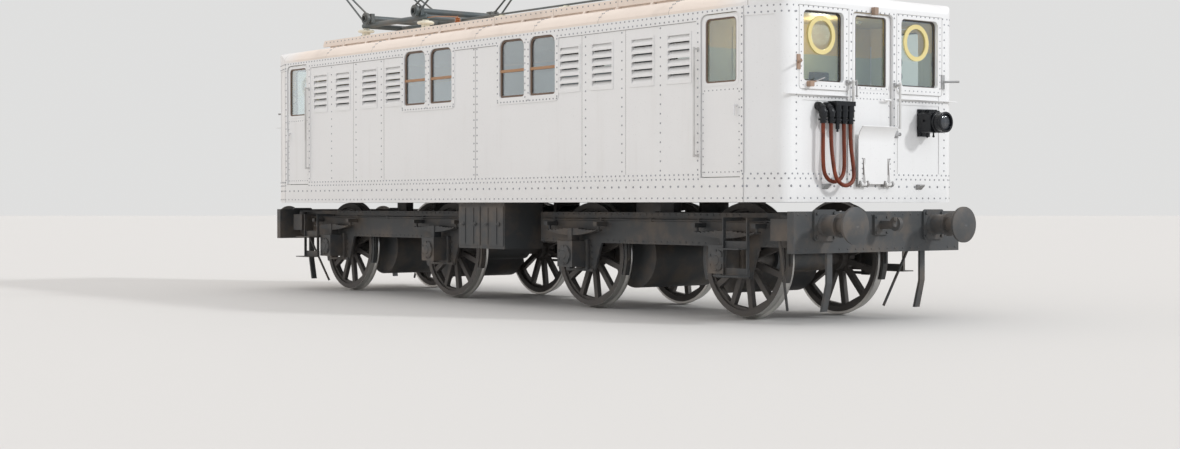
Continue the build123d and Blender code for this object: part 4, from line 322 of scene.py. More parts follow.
def wheel_steel(name):
    """Dark forged wheels with a bright tread and flange."""
    finish = Finish(name)
    x, _, z = finish.axes()
    nearest = None
    for axle in AXLES:
        away = finish.calc("ABSOLUTE", finish.minus(x, axle))
        nearest = away if nearest is None else finish.calc("MINIMUM", nearest, away)
    high = finish.minus(z, LIFT + AXLE_Z)
    squares = finish.plus(finish.calc("POWER", nearest, 2.0), finish.calc("POWER", high, 2.0))
    tread = finish.band(finish.calc("SQRT", squares), 0.644, 0.647)
    rough = finish.noise(18.0, 4)
    dark = finish.blend(rough, (0.055, 0.055, 0.058), (0.10, 0.085, 0.07))
    coat = finish.blend(tread, dark, (0.55, 0.54, 0.52))
    shine = finish.minus(0.62, finish.times(tread, 0.34))
    return finish.surface({"Base Color": coat, "Roughness": shine, "Metallic": tread,
                           "Normal": finish.bump(rough, 0.001, 0.3)})


def window_glass(name):
    """Thin pane that lets light through and mirrors at a glance."""
    finish = Finish(name)
    clear = finish.add("BsdfTransparent", {"Color": (0.90, 0.93, 0.91, 1)})
    gloss = finish.add("BsdfGlossy", {"Color": (0.82, 0.92, 1.0, 1), "Roughness": 0.02})
    facing_away = finish.add("LayerWeight", {"Blend": 0.5}).outputs["Facing"]
    share = finish.plus(finish.times(finish.calc("POWER", facing_away, 3.0), 3.0), 0.05, True)
    mixed = finish.add("MixShader", {0: share, 1: clear.outputs[0], 2: gloss.outputs[0]})
    return finish.close(mixed.outputs[0])


def bracket_paint(name):
    """Grey, with a brown coat on the left knees and over the gangway door."""
    finish = Finish(name)
    x, y, z = finish.axes()
    left = finish.times(finish.times(finish.calc("SIGN", x), y), -1.0)
    brown = finish.calc("MAXIMUM", finish.band(left, 0.9, 0.92), finish.band(z, 3.38, 3.39))
    coat = finish.blend(brown, (0.36, 0.36, 0.36), (0.36, 0.24, 0.17))
    coat = finish.blend(finish.worn(0.5), coat, (0.18, 0.15, 0.12))
    return finish.surface({"Base Color": coat, "Roughness": 0.5, "Normal": finish.brushed()})


def wood(name):
    finish = Finish(name)
    rings = finish.noise(4.0, 4, 0.6, (0.6, 12.0, 12.0))
    grain = finish.blend(rings, (0.24, 0.11, 0.04), (0.44, 0.23, 0.10))
    return finish.surface({"Base Color": grain, "Roughness": 0.38, "Coat Weight": 0.4, "Coat Roughness": 0.15,
                           "Normal": finish.bump(rings, 0.001, 0.3)})


def cable_sheath(name, color):
    """Worn sheath with lighter streaks along it, partly wear and partly painted highlights, and dark patches.
    """
    finish = Finish(name)
    stripes = finish.noise(26.0, 5, 0.6, (1.0, 1.0, 0.25))
    # Lighter streaks: partly wear, partly painted highlights along the sheath
    streaks_and_highlights = finish.blend(finish.band(stripes, 0.42, 0.7), color, darker(color, 1.7))
    patches = finish.times(finish.band(finish.noise(9.0, 3), 0.5, 0.7), 0.45)
    return finish.surface({"Base Color": finish.blend(patches, streaks_and_highlights, darker(color, 0.35)),
                           "Roughness": 0.42, "Specular IOR Level": 0.3,
                           "Normal": finish.bump(stripes, 0.002, 0.5)})


def lamp_lens(name):
    finish = Finish(name)
    ribs = finish.calc("SINE", finish.times(finish.axes()[1], 300.0))
    return finish.surface({"Base Color": (0.03, 0.034, 0.04, 1), "Roughness": 0.06, "Coat Weight": 0.6,
                           "Normal": finish.bump(ribs, 0.002, 0.6)})


MATERIALS = {}

# Plain paints: colour, roughness, colour of the dirt, its share, metal, clear coat, shine
PLAIN_PAINTS = {
    "frame_paint": ((0.050, 0.053, 0.055), 0.55, (0.13, 0.10, 0.075), 0.7),
    "rail_steel": ((0.60, 0.59, 0.57), 0.4, (0.30, 0.27, 0.24)),
    "socket_black": ((0.010, 0.011, 0.013), 0.2, (0.03, 0.028, 0.026), 0.3, 0.0, 0.0, 0.3),
    "insulator": ((0.78, 0.74, 0.60), 0.14, (0.55, 0.46, 0.32), 0.35, 0.0, 0.6),
    "insulator_brown": ((0.36, 0.12, 0.035), 0.14, (0.22, 0.07, 0.02), 0.3, 0.0, 0.6),
    "pantograph_steel": ((0.075, 0.095, 0.10), 0.45, (0.16, 0.13, 0.10)),
    "copper": ((0.42, 0.20, 0.11), 0.4, (0.18, 0.16, 0.12), 0.6, 0.8),
    # The seam colour also serves as a painted shadow under the cornice
    "seam_and_shadow_dark": ((0.20, 0.185, 0.17), 0.7, (0.10, 0.09, 0.08)),
    "bead_brown": ((0.15, 0.095, 0.065), 0.45, (0.08, 0.06, 0.045), 0.4),
    # The dark bead colour also serves as painted shade along the ribs of the gangway plates
    "bead_and_shade_dark": ((0.055, 0.042, 0.034), 0.45, (0.12, 0.09, 0.07), 0.3),
}


def make_materials(colors):
    # Rivets are far darker and bluer than the body: painted shade for the shadows round their small heads
    rivet = [part * share for part, share in zip(colors.body, (0.38, 0.40, 0.43))]
    for name, values in PLAIN_PAINTS.items():
        MATERIALS[name] = plain_paint(name.replace("_", " ").capitalize(), *values)
    MATERIALS.update({
        "body_paint": body_paint("Body paint", colors.body, colors.cab, colors.dado, colors.room),
        "room_paint": plain_paint("Machine room paint", colors.room, 0.5, (0.34, 0.36, 0.36), 0.3),
        "roof_paint": roof_paint("Roof paint", colors.roof, colors.body),
        "rivet_paint_and_shade": plain_paint("Rivet paint and shade", rivet, 0.5, (0.17, 0.15, 0.13)),
        "cab_paint": cab_paint("Cab paint", colors.cab, colors.dado),
        "ring_paint": plain_paint("Ring paint", colors.ring, 0.32, (0.60, 0.48, 0.16), 0.3, coat=0.4),
        "bracket_grey": bracket_paint("Bracket paint"),
        "wheel_steel": wheel_steel("Wheel steel"),
        "glass": window_glass("Window glass"),
        "rail_wood": wood("Varnished wood"),
        "cable_rubber": cable_sheath("Cable sheath", colors.cable),
        "lens": lamp_lens("Lamp lens"),
    })


# Meshes

def as_mesh(part, name="part"):
    """Turns a bmesh into a mesh, and frees the bmesh."""
    mesh = bpy.data.meshes.new(name)
    part.to_mesh(mesh)
    part.free()
    return mesh


def drop(*shapes):
    for shape in shapes:
        bpy.data.meshes.remove(shape)


def new_object(name, data):
    piece = bpy.data.objects.new(name, data)
    bpy.context.scene.collection.objects.link(piece)
    return piece


def make_smooth(part):
    for face in part.faces:
        face.smooth = True


def move(part, matrix):
    bmesh.ops.transform(part, matrix=matrix, verts=part.verts)


def finish_piece(name, mesh, material, body="root", smooth=True):
    """Turns a bmesh, its heights above the rail, into a piece of the locomotive that moves with a body.
    """
    if smooth:
        make_smooth(mesh)
    move(mesh, Matrix.Translation((0, 0, LIFT)))
    piece = new_object(name, as_mesh(mesh, name))
    piece.data.materials.append(MATERIALS[material])
    if smooth:
        piece.data.set_sharp_from_angle(angle=math.radians(35))
    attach(piece, body)


def facing(normal, place):
    """Matrix that puts local +Z along a direction at a place."""
    return Matrix.Translation(place) @ Vector(normal).to_track_quat("Z", "Y").to_matrix().to_4x4()


def pour(mesh, *parts):
    """Adds finished small bmeshes to a larger one."""
    for part in parts:
        copy = as_mesh(part)
        mesh.from_mesh(copy)
        drop(copy)


def stamp(mesh, shape, normal, place):
    """Adds a copy of a ready mesh at a place, its +Z along a direction."""
    copy = shape.copy()
    copy.transform(facing(normal, place))
    mesh.from_mesh(copy)
    drop(copy)


def at_end(sign, *meshes):
    """Turns bmeshes made for the front round to the rear where the sign is -1."""
    for mesh in meshes:
        move(mesh, Matrix.Rotation(0 if sign > 0 else math.pi, 4, "Z"))


def box(first, second, bevel=0.0):
    """Box between two opposite corners, its edges rounded where a bevel is given."""
    part = bmesh.new()
    bmesh.ops.create_cube(part, size=1.0)
    size = [abs(b - a) for a, b in zip(first, second)]
    middle = [(a + b) / 2 for a, b in zip(first, second)]
    bmesh.ops.scale(part, vec=size, verts=part.verts)
    if bevel:
        bmesh.ops.bevel(part, geom=part.edges[:], offset=bevel, offset_type="OFFSET", segments=2,
                        affect="EDGES", profile=0.5, material=-1, clamp_overlap=True)
    move(part, Matrix.Translation(middle))
    return part


def bar(start, end, radius):
    """Round bar between two points."""
    start, end = Vector(start), Vector(end)
    part = bmesh.new()
    bmesh.ops.create_cone(part, cap_ends=True, segments=16, radius1=radius, radius2=radius,
                          depth=(end - start).length)
    move(part, facing(end - start, (start + end) / 2))
    return part


def turned(profile, normal, place, steps=24):
    """Turns a profile of (radius, height) points round a direction at a place."""
    part = bmesh.new()
    corners = [part.verts.new((radius, 0, height)) for radius, height in profile]
    for first, second in zip(corners, corners[1:]):
        part.edges.new((first, second))
    bmesh.ops.spin(part, geom=part.verts[:] + part.edges[:], cent=(0, 0, 0), axis=UP, angle=math.tau,
                   steps=steps, use_merge=True)
    bmesh.ops.remove_doubles(part, verts=part.verts, dist=1e-5)
    bmesh.ops.recalc_face_normals(part, faces=part.faces)
    move(part, facing(normal, place))
    return part


def hoop(place):
    """Braid bent round a pin that lies across, 0.052 m from it."""
    part = bmesh.new()
    stand = Matrix.Rotation(math.pi / 2, 4, "X")
    bmesh.ops.create_circle(part, segments=8, radius=0.006)
    move(part, Matrix.Translation((0.052, 0, 0)) @ stand)
    bmesh.ops.spin(part, geom=part.verts[:] + part.edges[:], cent=(0, 0, 0), axis=UP,
                   angle=math.radians(200), steps=14, use_merge=False)
    bmesh.ops.holes_fill(part, edges=part.edges)
    bmesh.ops.recalc_face_normals(part, faces=part.faces)
    move(part, Matrix.Translation(place) @ stand)
    return part


def head(radius, sides, top, height, middle):
    """Tapered head. Its top radius, height and middle's height are shares of its radius."""
    part = bmesh.new()
    bmesh.ops.create_cone(part, cap_ends=True, segments=sides, radius1=radius, radius2=radius * top,
                          depth=radius * height)
    move(part, Matrix.Translation((0, 0, radius * middle)))
    return part


def rivet_shape(radius):
    """Low dome of few faces, without a bottom."""
    part = head(radius, 8, 0.55, 0.55, 0.25)
    bottom = [face for face in part.faces if face.normal.z < -0.9]
    bmesh.ops.delete(part, geom=bottom, context="FACES")
    make_smooth(part)
    return as_mesh(part)


def bolt_shape(radius):
    return as_mesh(head(radius, 6, 0.92, 0.9, 0.42))


def row(start, end, pitch):
    """Evenly spaced places from start to end."""
    count = max(1, round((end - start) / pitch))
    return [start + (end - start) * index / count for index in range(count + 1)]


def ring(count, radius, first):
    """Evenly spaced points round a circle, from an angle in degrees."""
    angles = [math.radians(first + 360 * step / count) for step in range(count)]
    return [(radius * math.cos(angle), radius * math.sin(angle)) for angle in angles]


def rectangle(half_width, half_height):
    """The four corners of a rectangle round 0."""
    return [(x, y) for x in (-half_width, half_width) for y in (-half_height, half_height)]


def pane_frame(width, height, band, depth, radii, normal, place):
    """Upright frame round a pane that faces a level direction, with radii for its top and low corners."""
    part = bmesh.new()
    bmesh.ops.create_grid(part, x_segments=1, y_segments=1, size=0.5)
    bmesh.ops.scale(part, vec=(width, height, 1), verts=part.verts)
    for radius, way in zip(radii, (1, -1)):
        corners = [vert for vert in part.verts if vert.co.y * way > height * 0.499]
        bmesh.ops.bevel(part, geom=corners, offset=radius, segments=6, affect="VERTICES", profile=0.5,
                        material=-1)
    pane = part.faces[:]
    bmesh.ops.inset_region(part, faces=pane, thickness=band, use_boundary=True, use_even_offset=True)
    bmesh.ops.delete(part, geom=pane, context="FACES")
    raised = bmesh.ops.extrude_face_region(part, geom=part.faces[:])
    corners = [item for item in raised["geom"] if isinstance(item, bmesh.types.BMVert)]
    bmesh.ops.translate(part, vec=(0, 0, depth), verts=corners)
    bmesh.ops.recalc_face_normals(part, faces=part.faces)
    turn = Matrix((Vector(UP).cross(Vector(normal)), UP, normal)).transposed().to_4x4()
    move(part, Matrix.Translation(place) @ turn)
    return part


# Rivets

# Where openings interrupt the rivet rows: nearest and farthest place along the wall, low and high edge
SIDE_OPENINGS = [(x - 0.278, x + 0.278, 2.61, 3.385) for x in WINDOW_X]
SIDE_OPENINGS += [(x - 0.222, x + 0.222, 2.62, 3.22) for x in LOUVRE_X]
SIDE_OPENINGS += [(4.36, 5.03, 1.555, 3.385)]
END_OPENINGS = [(0.45, 1.10, 2.59, 3.38), (-0.01, 0.335, 1.545, 3.397)]


def clear_of(openings, along, height):
    return not any(a < abs(along) < b and low < height < high for a, b, low, high in openings)


def side_surface(x, z):
    """How far the side's plates stand out at a place."""
    window = 0.475 < abs(x) < 1.785 and z > 2.545
    door = abs(x) > 4.305
    return HALF_WIDTH + (PROUD if z < BAND_Z or z > CORNICE_Z or window or door else 0.0)


def end_surface(y, z):
    """How far an end's plates stand out at a place."""
    window = 0.395 < abs(y) < 1.155 and z > 2.52
    ledge = 0.405 < abs(y) < 1.18 and 2.397 < z < 2.462
    strip = abs(y) < 0.4 or abs(y) > 1.105
    return HALF_LENGTH + (PROUD if z < BAND_Z or z > CORNICE_Z or window or ledge or strip else 0.0)


def rounded_end(step=0.004):
    """Points and outward directions round the front end's plates in plan, from the right side to the left."""
    half = [(TAPER_X - 0.35, HALF_WIDTH), (TAPER_X, HALF_WIDTH), (HALF_LENGTH, END_HALF)]
    corners = [Vector((x, -y)) for x, y in half] + [Vector(corner) for corner in reversed(half)]
    points = []
    at = corners[0]
    for index, radius in enumerate((TAPER_RADIUS, CORNER_RADIUS, CORNER_RADIUS, TAPER_RADIUS)):
        before, here, after = corners[index:index + 3]
        way_in, way_out = (here - before).normalized(), (after - here).normalized()
        out = Vector((way_in.y, -way_in.x))
        turn = way_in.angle(way_out)
        reach = radius * math.tan(turn / 2)
        bend = here - way_in * reach
        count = round((bend - at).length / step)
        points += [(at.lerp(bend, k / count) + out * PROUD, out) for k in range(count)]
        centre = bend - out * radius
        count = round(turn * radius / step)
        ways = [Matrix.Rotation(turn * k / count, 2) @ out for k in range(count)]
        points += [(centre + way * (radius + PROUD), way) for way in ways]
        at = here + way_out * reach
    return points


def rivets_round_end(height, pitch, radius, nearest, shift, sign):
    """Rivets at one height round an end, from the side walls to a distance from the centreline."""
    spots = []
    walked, last = shift, None
    for point, out in rounded_end():
        if last is not None:
            walked += (point - last).length
        last = point
        if walked < pitch:
            continue
        walked -= pitch
        blocked = point.x > HALF_LENGTH - 0.01 and not clear_of(END_OPENINGS, point.y, height)
        if not blocked and point.x >= TAPER_X + 0.02 and abs(point.y) >= nearest:
            spots.append(((sign * point.x, sign * point.y, height), (sign * out.x, sign * out.y, 0), radius))
    return spots


def plate_rivets(rows, lines, openings):
    """Places along a wall, heights and radii of the rivets in level rows and upright lines."""
    places = [(along, z, radius) for z, near, far, pitch, radius in rows for along in row(near, far, pitch)]
    places += [(along, z, radius) for along, low, high, pitch, radius in lines for z in row(low, high, pitch)]
    return [place for place in places if clear_of(openings, *place[:2])]


def side_rivets(sizes, end, side):
    small, pitch = sizes.radius, sizes.pitch
    # Rows along the side: height, nearest and farthest x, pitch, radius
    rows = [
        (1.345, 0.03, 5.06, 0.10, small), (1.475, 0.06, 5.06, 0.13, sizes.large),
        (1.556, 0.04, 5.06, pitch, small), (1.606, 0.0, 5.06, pitch, small), (2.573, 0.51, 1.75, 0.07, small),
        (3.337, 0.0, 5.05, pitch, small), (3.400, 0.04, 5.05, pitch, small),
    ]
    # Lines up the side: x, low and high end, pitch
    lines = [
        (0.035, 1.66, 3.29, 0.10), (0.503, 2.60, 3.30, 0.09), (1.097, 2.62, 3.30, 0.09),
        (1.163, 2.58, 3.30, 0.09), (1.757, 2.60, 3.30, 0.09), (2.315, 1.66, 3.28, 0.11),
        (3.000, 1.66, 3.28, 0.11), (3.690, 1.66, 3.28, 0.11), (4.335, 1.66, 3.28, 0.10),
        (5.043, 1.64, 3.30, 0.10),
    ]
    return [((end * x, side * side_surface(x, z), z), (0, side, 0), radius)
            for x, z, radius in plate_rivets(rows, [(*line, small) for line in lines], SIDE_OPENINGS)]


def end_rivets(sizes, sign):
    small, pitch = sizes.radius, sizes.pitch
    fine = small * FINE_SHARE
    # Rows right round the end: height, pitch, radius, nearest y, shift
    round_rows = [
        (1.345, 0.10, small, 0.0, 0.0), (1.475, 0.13, sizes.large, 0.0, 0.0), (1.556, pitch, small, 0.0, 0.0),
        (1.606, pitch, small, 0.0, pitch / 2), (3.337, pitch, small, 1.21, 0.0),
        (3.403, 0.075, small * 0.9, 0.0, 0.04),
    ]
    # Rows across the end: height, nearest and farthest y, pitch, radius
    rows = [(2.430, 0.425, 1.16, 0.057, fine), (2.557, 0.460, 1.09, 0.070, fine)]
    # Lines up the end: y, low and high end, pitch, radius
    lines = [(0.347, 1.65, 3.36, 0.098, small), (0.420, 2.58, 3.30, 0.080, fine),
             (1.120, 2.60, 3.30, 0.080, fine), (1.193, 1.66, 3.34, 0.090, small)]
    spots = [spot for values in round_rows for spot in rivets_round_end(*values, sign)]
    for side in BOTH:
        spots += [((sign * end_surface(y, z), side * y, z), (sign, 0, 0), radius)
                  for y, z, radius in plate_rivets(rows, lines, END_OPENINGS)]
    return spots


def circle_of_three(a, b, c):
    """Centre and radius of the circle through three points in a plane."""
    a, b, c = complex(*a), complex(*b), complex(*c)
    ratio = (c - a) / (b - a)
    centre = a + (b - a) * (ratio - abs(ratio) ** 2) / (2j * ratio.imag)
    return Vector((centre.real, centre.imag)), abs(centre - a)


def roof_rivets(sizes):
    """Rivets beside the laps of the roof's plates, on its rounded edges, and along the raised roof."""
    low, middle, high = (1.508, 3.44), (1.418, 3.55), (1.23, 3.60)
    centre, radius = circle_of_three(low, middle, high)
    first, last = (math.atan2(z - centre.y, y - centre.x) for y, z in (low, high))
    spots = []
    for x in (index * ROOF_PLATE + lap for index in range(-3, 4) for lap in (-0.017, 0.017)):
        for angle in row(first, last, (last - first) / 5)[1:-1]:
            out = Vector((math.cos(angle), math.sin(angle)))
            spot = centre + out * radius
            spots += [((x, side * spot.x, spot.y), (0, side * out.x, out.y), sizes.radius) for side in BOTH]
    for side in BOTH:
        spots += [((x, side * 1.2, 3.70), (0, side, 0), sizes.radius) for x in row(-4.35, 4.35, 0.107)]
    return spots


def rivet_piece(name, spots, body="root"):
    """Piece of rivets, from each one's place, outward direction and radius."""
    mesh = bmesh.new()
    shapes = {radius: rivet_shape(radius) for radius in {spot[2] for spot in spots}}
    for place, out, radius in spots:
        stamp(mesh, shapes[radius], out, place)
    drop(*shapes.values())
    finish_piece(name, mesh, "rivet_paint_and_shade", body, smooth=False)


# Operators

class LocoOperator:
    bl_options = {"REGISTER", "UNDO"}


class LOCO_OT_finishes(LocoOperator, bpy.types.Operator):
    """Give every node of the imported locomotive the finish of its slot"""

    bl_idname = "loco.finishes"
    bl_label = "Finishes"

    def execute(self, context):
        make_materials(context.scene.loco_finish)
        own = {"end_fittings": "bracket_grey", "equipment_block": "room_paint"}
        for node, piece in NODES.items():
            piece.data.materials.clear()
            piece.data.materials.append(MATERIALS[own.get(node, SLOT_OF_NODE[node])])
        return {"FINISHED"}


class LOCO_OT_rivets(LocoOperator, bpy.types.Operator):
    """Rivet the walls, the roof and the doors"""

    bl_idname = "loco.rivets"
    bl_label = "Rivets"

    def execute(self, context):
        sizes = context.scene.loco_rivets
        fine = sizes.radius * FINE_SHARE
        rivet_piece("roof_rivets", roof_rivets(sizes))
        for hand, side in HANDS:
            spots = [spot for end in BOTH for spot in side_rivets(sizes, end, side)]
            rivet_piece(f"side_rivets_{hand}", spots)
        for end, sign in ENDS:
            out = (sign, 0, 0)
            rivet_piece(f"end_rivets_{end}", end_rivets(sizes, sign))
            # Rows across the gangway door: height, farthest y, pitch, distance out
            rows = [(2.445, 0.27, 0.055, DOOR_FACE), (2.51, 0.27, 0.055, DOOR_FACE),
                    (2.562, 0.26, 0.09, DOOR_FACE + 0.004)]
            spots = [((sign * face, y, z), out, fine)
                     for z, far, pitch, face in rows for y in row(-far, far, pitch)]
            spots += [((sign * DOOR_FACE, y, z), out, fine)
                      for y in (-0.3, 0.3) for z in row(1.6, 2.38, 0.13)]
            rivet_piece(f"gangway_door_rivets_{end}", spots, f"{end}_gangway_door")
            places = [(x, z) for z in (1.63, 2.53) for x in row(4.43, 4.96, 0.066)]
            places += [(x, z) for x in (4.405, 4.985) for z in row(1.63, 2.5, 0.09)]
            for hand, side in HANDS:
                spots = [((sign * x, side * CAB_DOOR_FACE, z), (0, side, 0), fine) for x, z in places]
                rivet_piece(f"cab_door_rivets_{end}_{hand}", spots, f"{end}_{hand}_cab_door")
            spots = [((sign * PLATE_FACE, y, z), out, fine)
                     for y in (-0.225, 0.225) for z in row(1.56, 1.78, 0.055)]
            rivet_piece(f"gangway_plate_rivets_{end}", spots, f"{end}_gangway_plate")
        return {"FINISHED"}


class LOCO_OT_seams_and_shadow(LocoOperator, bpy.types.Operator):
    """Draw the dark seams between the riveted plates and a painted shadow under the cornice"""

    bl_idname = "loco.seams"
    bl_label = "Plate seams and shadow"

    def execute(self, context):
        half, depth = 0.0018, 0.0012
        # Upright seams on the sides: x, low and high end
        uprights = [(0.0, 1.302, 3.418), (2.245, BAND_Z, CORNICE_Z), (3.07, BAND_Z, CORNICE_Z),
                    (5.0695, 1.302, 3.418)]
        mesh = bmesh.new()
        for sign, side in rectangle(1, 1):
            # Edge of the plate round an end window, rounded at its lower corners
            out = sign * (HALF_LENGTH + PROUD)
            pour(mesh, pane_frame(0.7695, 0.905, 0.0036, depth, (0.006, 0.045), (sign, 0, 0),
                                  (out + sign * 0.0002, side * 0.76975, 2.9625)))
            # Edge of the strip beside the gangway door
            y = side * 0.4
            pour(mesh, box((out, y - half, BAND_Z), (out + sign * depth, y + half, 2.39)))
            for x, low, high in uprights:
                out = side * side_surface(x - 0.01, (low + high) / 2)
                pour(mesh, box((sign * x - half, out, low), (sign * x + half, out + side * depth, high)))
            # Shadow under the cornice, where no window or door frame stands
            for near, far in ((0.002, 0.475), (1.785, 4.305)):
                pour(mesh, box((sign * near, side * HALF_WIDTH, 3.3055),
                               (sign * far, side * (HALF_WIDTH + 0.003), 3.3095)))
        finish_piece("plate_seams_and_shadow", mesh, "seam_and_shadow_dark", smooth=False)
        return {"FINISHED"}


class LOCO_OT_window_beads(LocoOperator, bpy.types.Operator):
    """Fit the beads that hold the panes round the windows"""

    bl_idname = "loco.window_beads"
    bl_label = "Window beads"

    def execute(self, context):
        beads = bmesh.new()
        for sign, side in rectangle(1, 1):
            for x in WINDOW_X:
                pour(beads, pane_frame(0.5292, 0.7342, 0.026, 0.013, (0.11, 0.04), (0, side, 0),
                                       (sign * x, side * 1.4745, 2.9975)))
        finish_piece("side_window_beads", beads, "bead_brown")
        for end, sign in ENDS:
            out = (sign, 0, 0)
            beads = bmesh.new()
            for y in (-0.775, 0.775):
                # Inner and outer bead: distance out, width, depth
                for face, band, depth in ((5.4876, 0.02, -0.004), (5.5035, 0.014, 0.008)):
                    pour(beads, pane_frame(0.6192, 0.7592, band, depth, (0.06, 0.04), out,
                                           (sign * face, y, 2.985)))
            finish_piece(f"end_window_beads_{end}", beads, "bead_and_shade_dark")
            bead = pane_frame(0.4992, 0.7792, 0.018, 0.012, (0.04, 0.02), out, (sign * 5.5025, 0, 2.97))
            finish_piece(f"gangway_window_bead_{end}", bead, "bead_and_shade_dark", f"{end}_gangway_door")
            for hand, side in HANDS:
                bead = pane_frame(0.4992, 0.7072, 0.018, 0.012, (0.06, 0.04), (0, side, 0),
                                  (sign * 4.695, side * 1.4725, 2.964))
                door = f"{end}_{hand}_cab_door"
                finish_piece(f"cab_door_bead_{end}_{hand}", bead, "bead_brown", door)
        return {"FINISHED"}


# Each cable's length and the points that its middle line follows, from socket to socket
CABLES = {
    "jumper_cable_1": (1.44, [
        (5.640, -0.870, 2.150), (5.640, -0.870, 2.000), (5.643, -0.875, 1.810), (5.647, -0.869, 1.637),
        (5.649, -0.826, 1.562), (5.650, -0.752, 1.520), (5.650, -0.668, 1.521), (5.649, -0.593, 1.564),
        (5.647, -0.551, 1.638), (5.643, -0.545, 1.811), (5.640, -0.550, 2.000), (5.640, -0.550, 2.150)]),
    "jumper_cable_2": (1.52, [
        (5.640, -0.750, 2.150), (5.640, -0.750, 1.965), (5.672, -0.755, 1.755), (5.702, -0.749, 1.590),
        (5.713, -0.709, 1.520), (5.718, -0.640, 1.480), (5.718, -0.560, 1.481), (5.713, -0.490, 1.521),
        (5.702, -0.451, 1.591), (5.672, -0.445, 1.756), (5.640, -0.450, 1.965), (5.640, -0.450, 2.150)]),
}


class LOCO_OT_jumper_cables(LocoOperator, bpy.types.Operator):
    """Hang the jumper cables between their sockets"""

    bl_idname = "loco.jumper_cables"
    bl_label = "Jumper cables"

    def execute(self, context):
        for node, (length, route) in CABLES.items():
            curve = bpy.data.curves.new(node + "_line", "CURVE")
            curve.dimensions = "3D"
            curve.bevel_depth = 0.022
            curve.bevel_resolution = 4
            curve.use_fill_caps = True
            line = curve.splines.new("NURBS")
            line.points.add(len(route) - 1)
            for point, (x, y, z) in zip(line.points, route):
                point.co = (x, y, z + LIFT, 1)
            line.order_u = 3
            line.use_endpoint_u = True
            line.resolution_u = 8
            cable = new_object(node + "_sheath", curve)
            curve.materials.append(MATERIALS["cable_rubber"])
            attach(cable, "root")
            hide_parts(node)
            x, y, z = route[0]
        return {"FINISHED"}


class LOCO_OT_lamps(LocoOperator, bpy.types.Operator):
    """Put the lens and catches into both headlamps"""

    bl_idname = "loco.lamps"
    bl_label = "Headlamps"

    def execute(self, context):
        bulge = [(0, 0.022), (0.04, 0.019), (0.075, 0.010), (0.0915, 0.0), (0.0915, -0.004), (0, -0.004)]
        for end, sign in ENDS:
            y, z = sign * 0.835, 2.2
            lens = turned(bulge, (sign, 0, 0), (sign * 5.872, y, z), 32)
            finish_piece(f"headlamp_lens_{end}", lens, "lens")
            catches = bmesh.new()
            hinge_x, hinge_z = sign * 5.66, z + 0.02
            for way in BOTH:
                middle = y + way * 0.085
                pour(catches,
                     box((sign * 5.62, middle - 0.008, z + 0.112),
                         (hinge_x, middle + 0.008, z + 0.128), 0.002),
                     bar((hinge_x, y + way * 0.118, hinge_z), (hinge_x, y + way * 0.138, hinge_z), 0.014))
            finish_piece(f"headlamp_catches_{end}", catches, "socket_black")
        return {"FINISHED"}


class LOCO_OT_end_trims(LocoOperator, bpy.types.Operator):
    """Add the fall plates' catches, painted shade along their ribs, the chain's hook, a hanging rod and knobs
    on both ends
    """

    bl_idname = "loco.end_trims"
    bl_label = "End trims"

    def execute(self, context):
        wall = HALF_LENGTH + PROUD + 0.0004
        ball = [(0, -0.016), (0.011, -0.011), (0.016, 0), (0.011, 0.011), (0, 0.016)]
        for end, sign in ENDS:
            grey, white, rib_shade = bmesh.new(), bmesh.new(), bmesh.new()
            # Catch at the plate's left edge: a bracket with a spring bolt
            pour(grey, box((wall, 0.292, 2.035), (5.618, 0.35, 2.085), 0.006),
                 box((wall, 0.345, 2.02), (wall + 0.008, 0.41, 2.1), 0.002),
                 bar((5.598, 0.35, 2.06), (5.598, 0.392, 2.06), 0.013),
                 bar((5.598, 0.391, 2.06), (5.598, 0.404, 2.06), 0.02))
            # Hook for the plate's chain at the right edge
            pour(white, box((wall, -0.405, 1.99), (wall + 0.007, -0.342, 2.1), 0.002))
            pour(grey, bar((wall, -0.352, 2.045), (5.6, -0.352, 2.045), 0.009),
                 bar((5.6, -0.352, 2.037), (5.6, -0.352, 2.085), 0.009))
            # Rod that hangs from the top of the right grab rail
            pour(grey, bar((5.612, -0.378, 2.612), (5.622, -0.328, 2.632), 0.008),
                 bar((5.622, -0.328, 2.64), (5.622, -0.328, 2.47), 0.008),
                 turned(ball, UP, (5.622, -0.328, 2.462), 12))
            # Knobs on studs beside both rails
            for y in (-0.42, 0.345):
                pour(grey, box((wall, y - 0.016, 2.595), (5.59, y + 0.016, 2.635), 0.005),
                     bar((5.574, y, 2.615), (5.574, y + 0.055, 2.615), 0.009))
            # Painted shade along the feet of the plate's two ribs, where their side faces fall in shadow
            for y in (-0.211, -0.189, 0.189, 0.211):
                pour(rib_shade, box((PLATE_FACE - 0.0005, y - 0.005, 1.6),
                                 (PLATE_FACE + 0.0025, y + 0.005, 1.785), 0.001))
            at_end(sign, grey, white, rib_shade)
            finish_piece(f"plate_catches_{end}", grey, "bracket_grey")
            finish_piece(f"chain_plate_{end}", white, "body_paint")
            finish_piece(f"plate_rib_shade_{end}", rib_shade, "bead_and_shade_dark", f"{end}_gangway_plate")
        return {"FINISHED"}


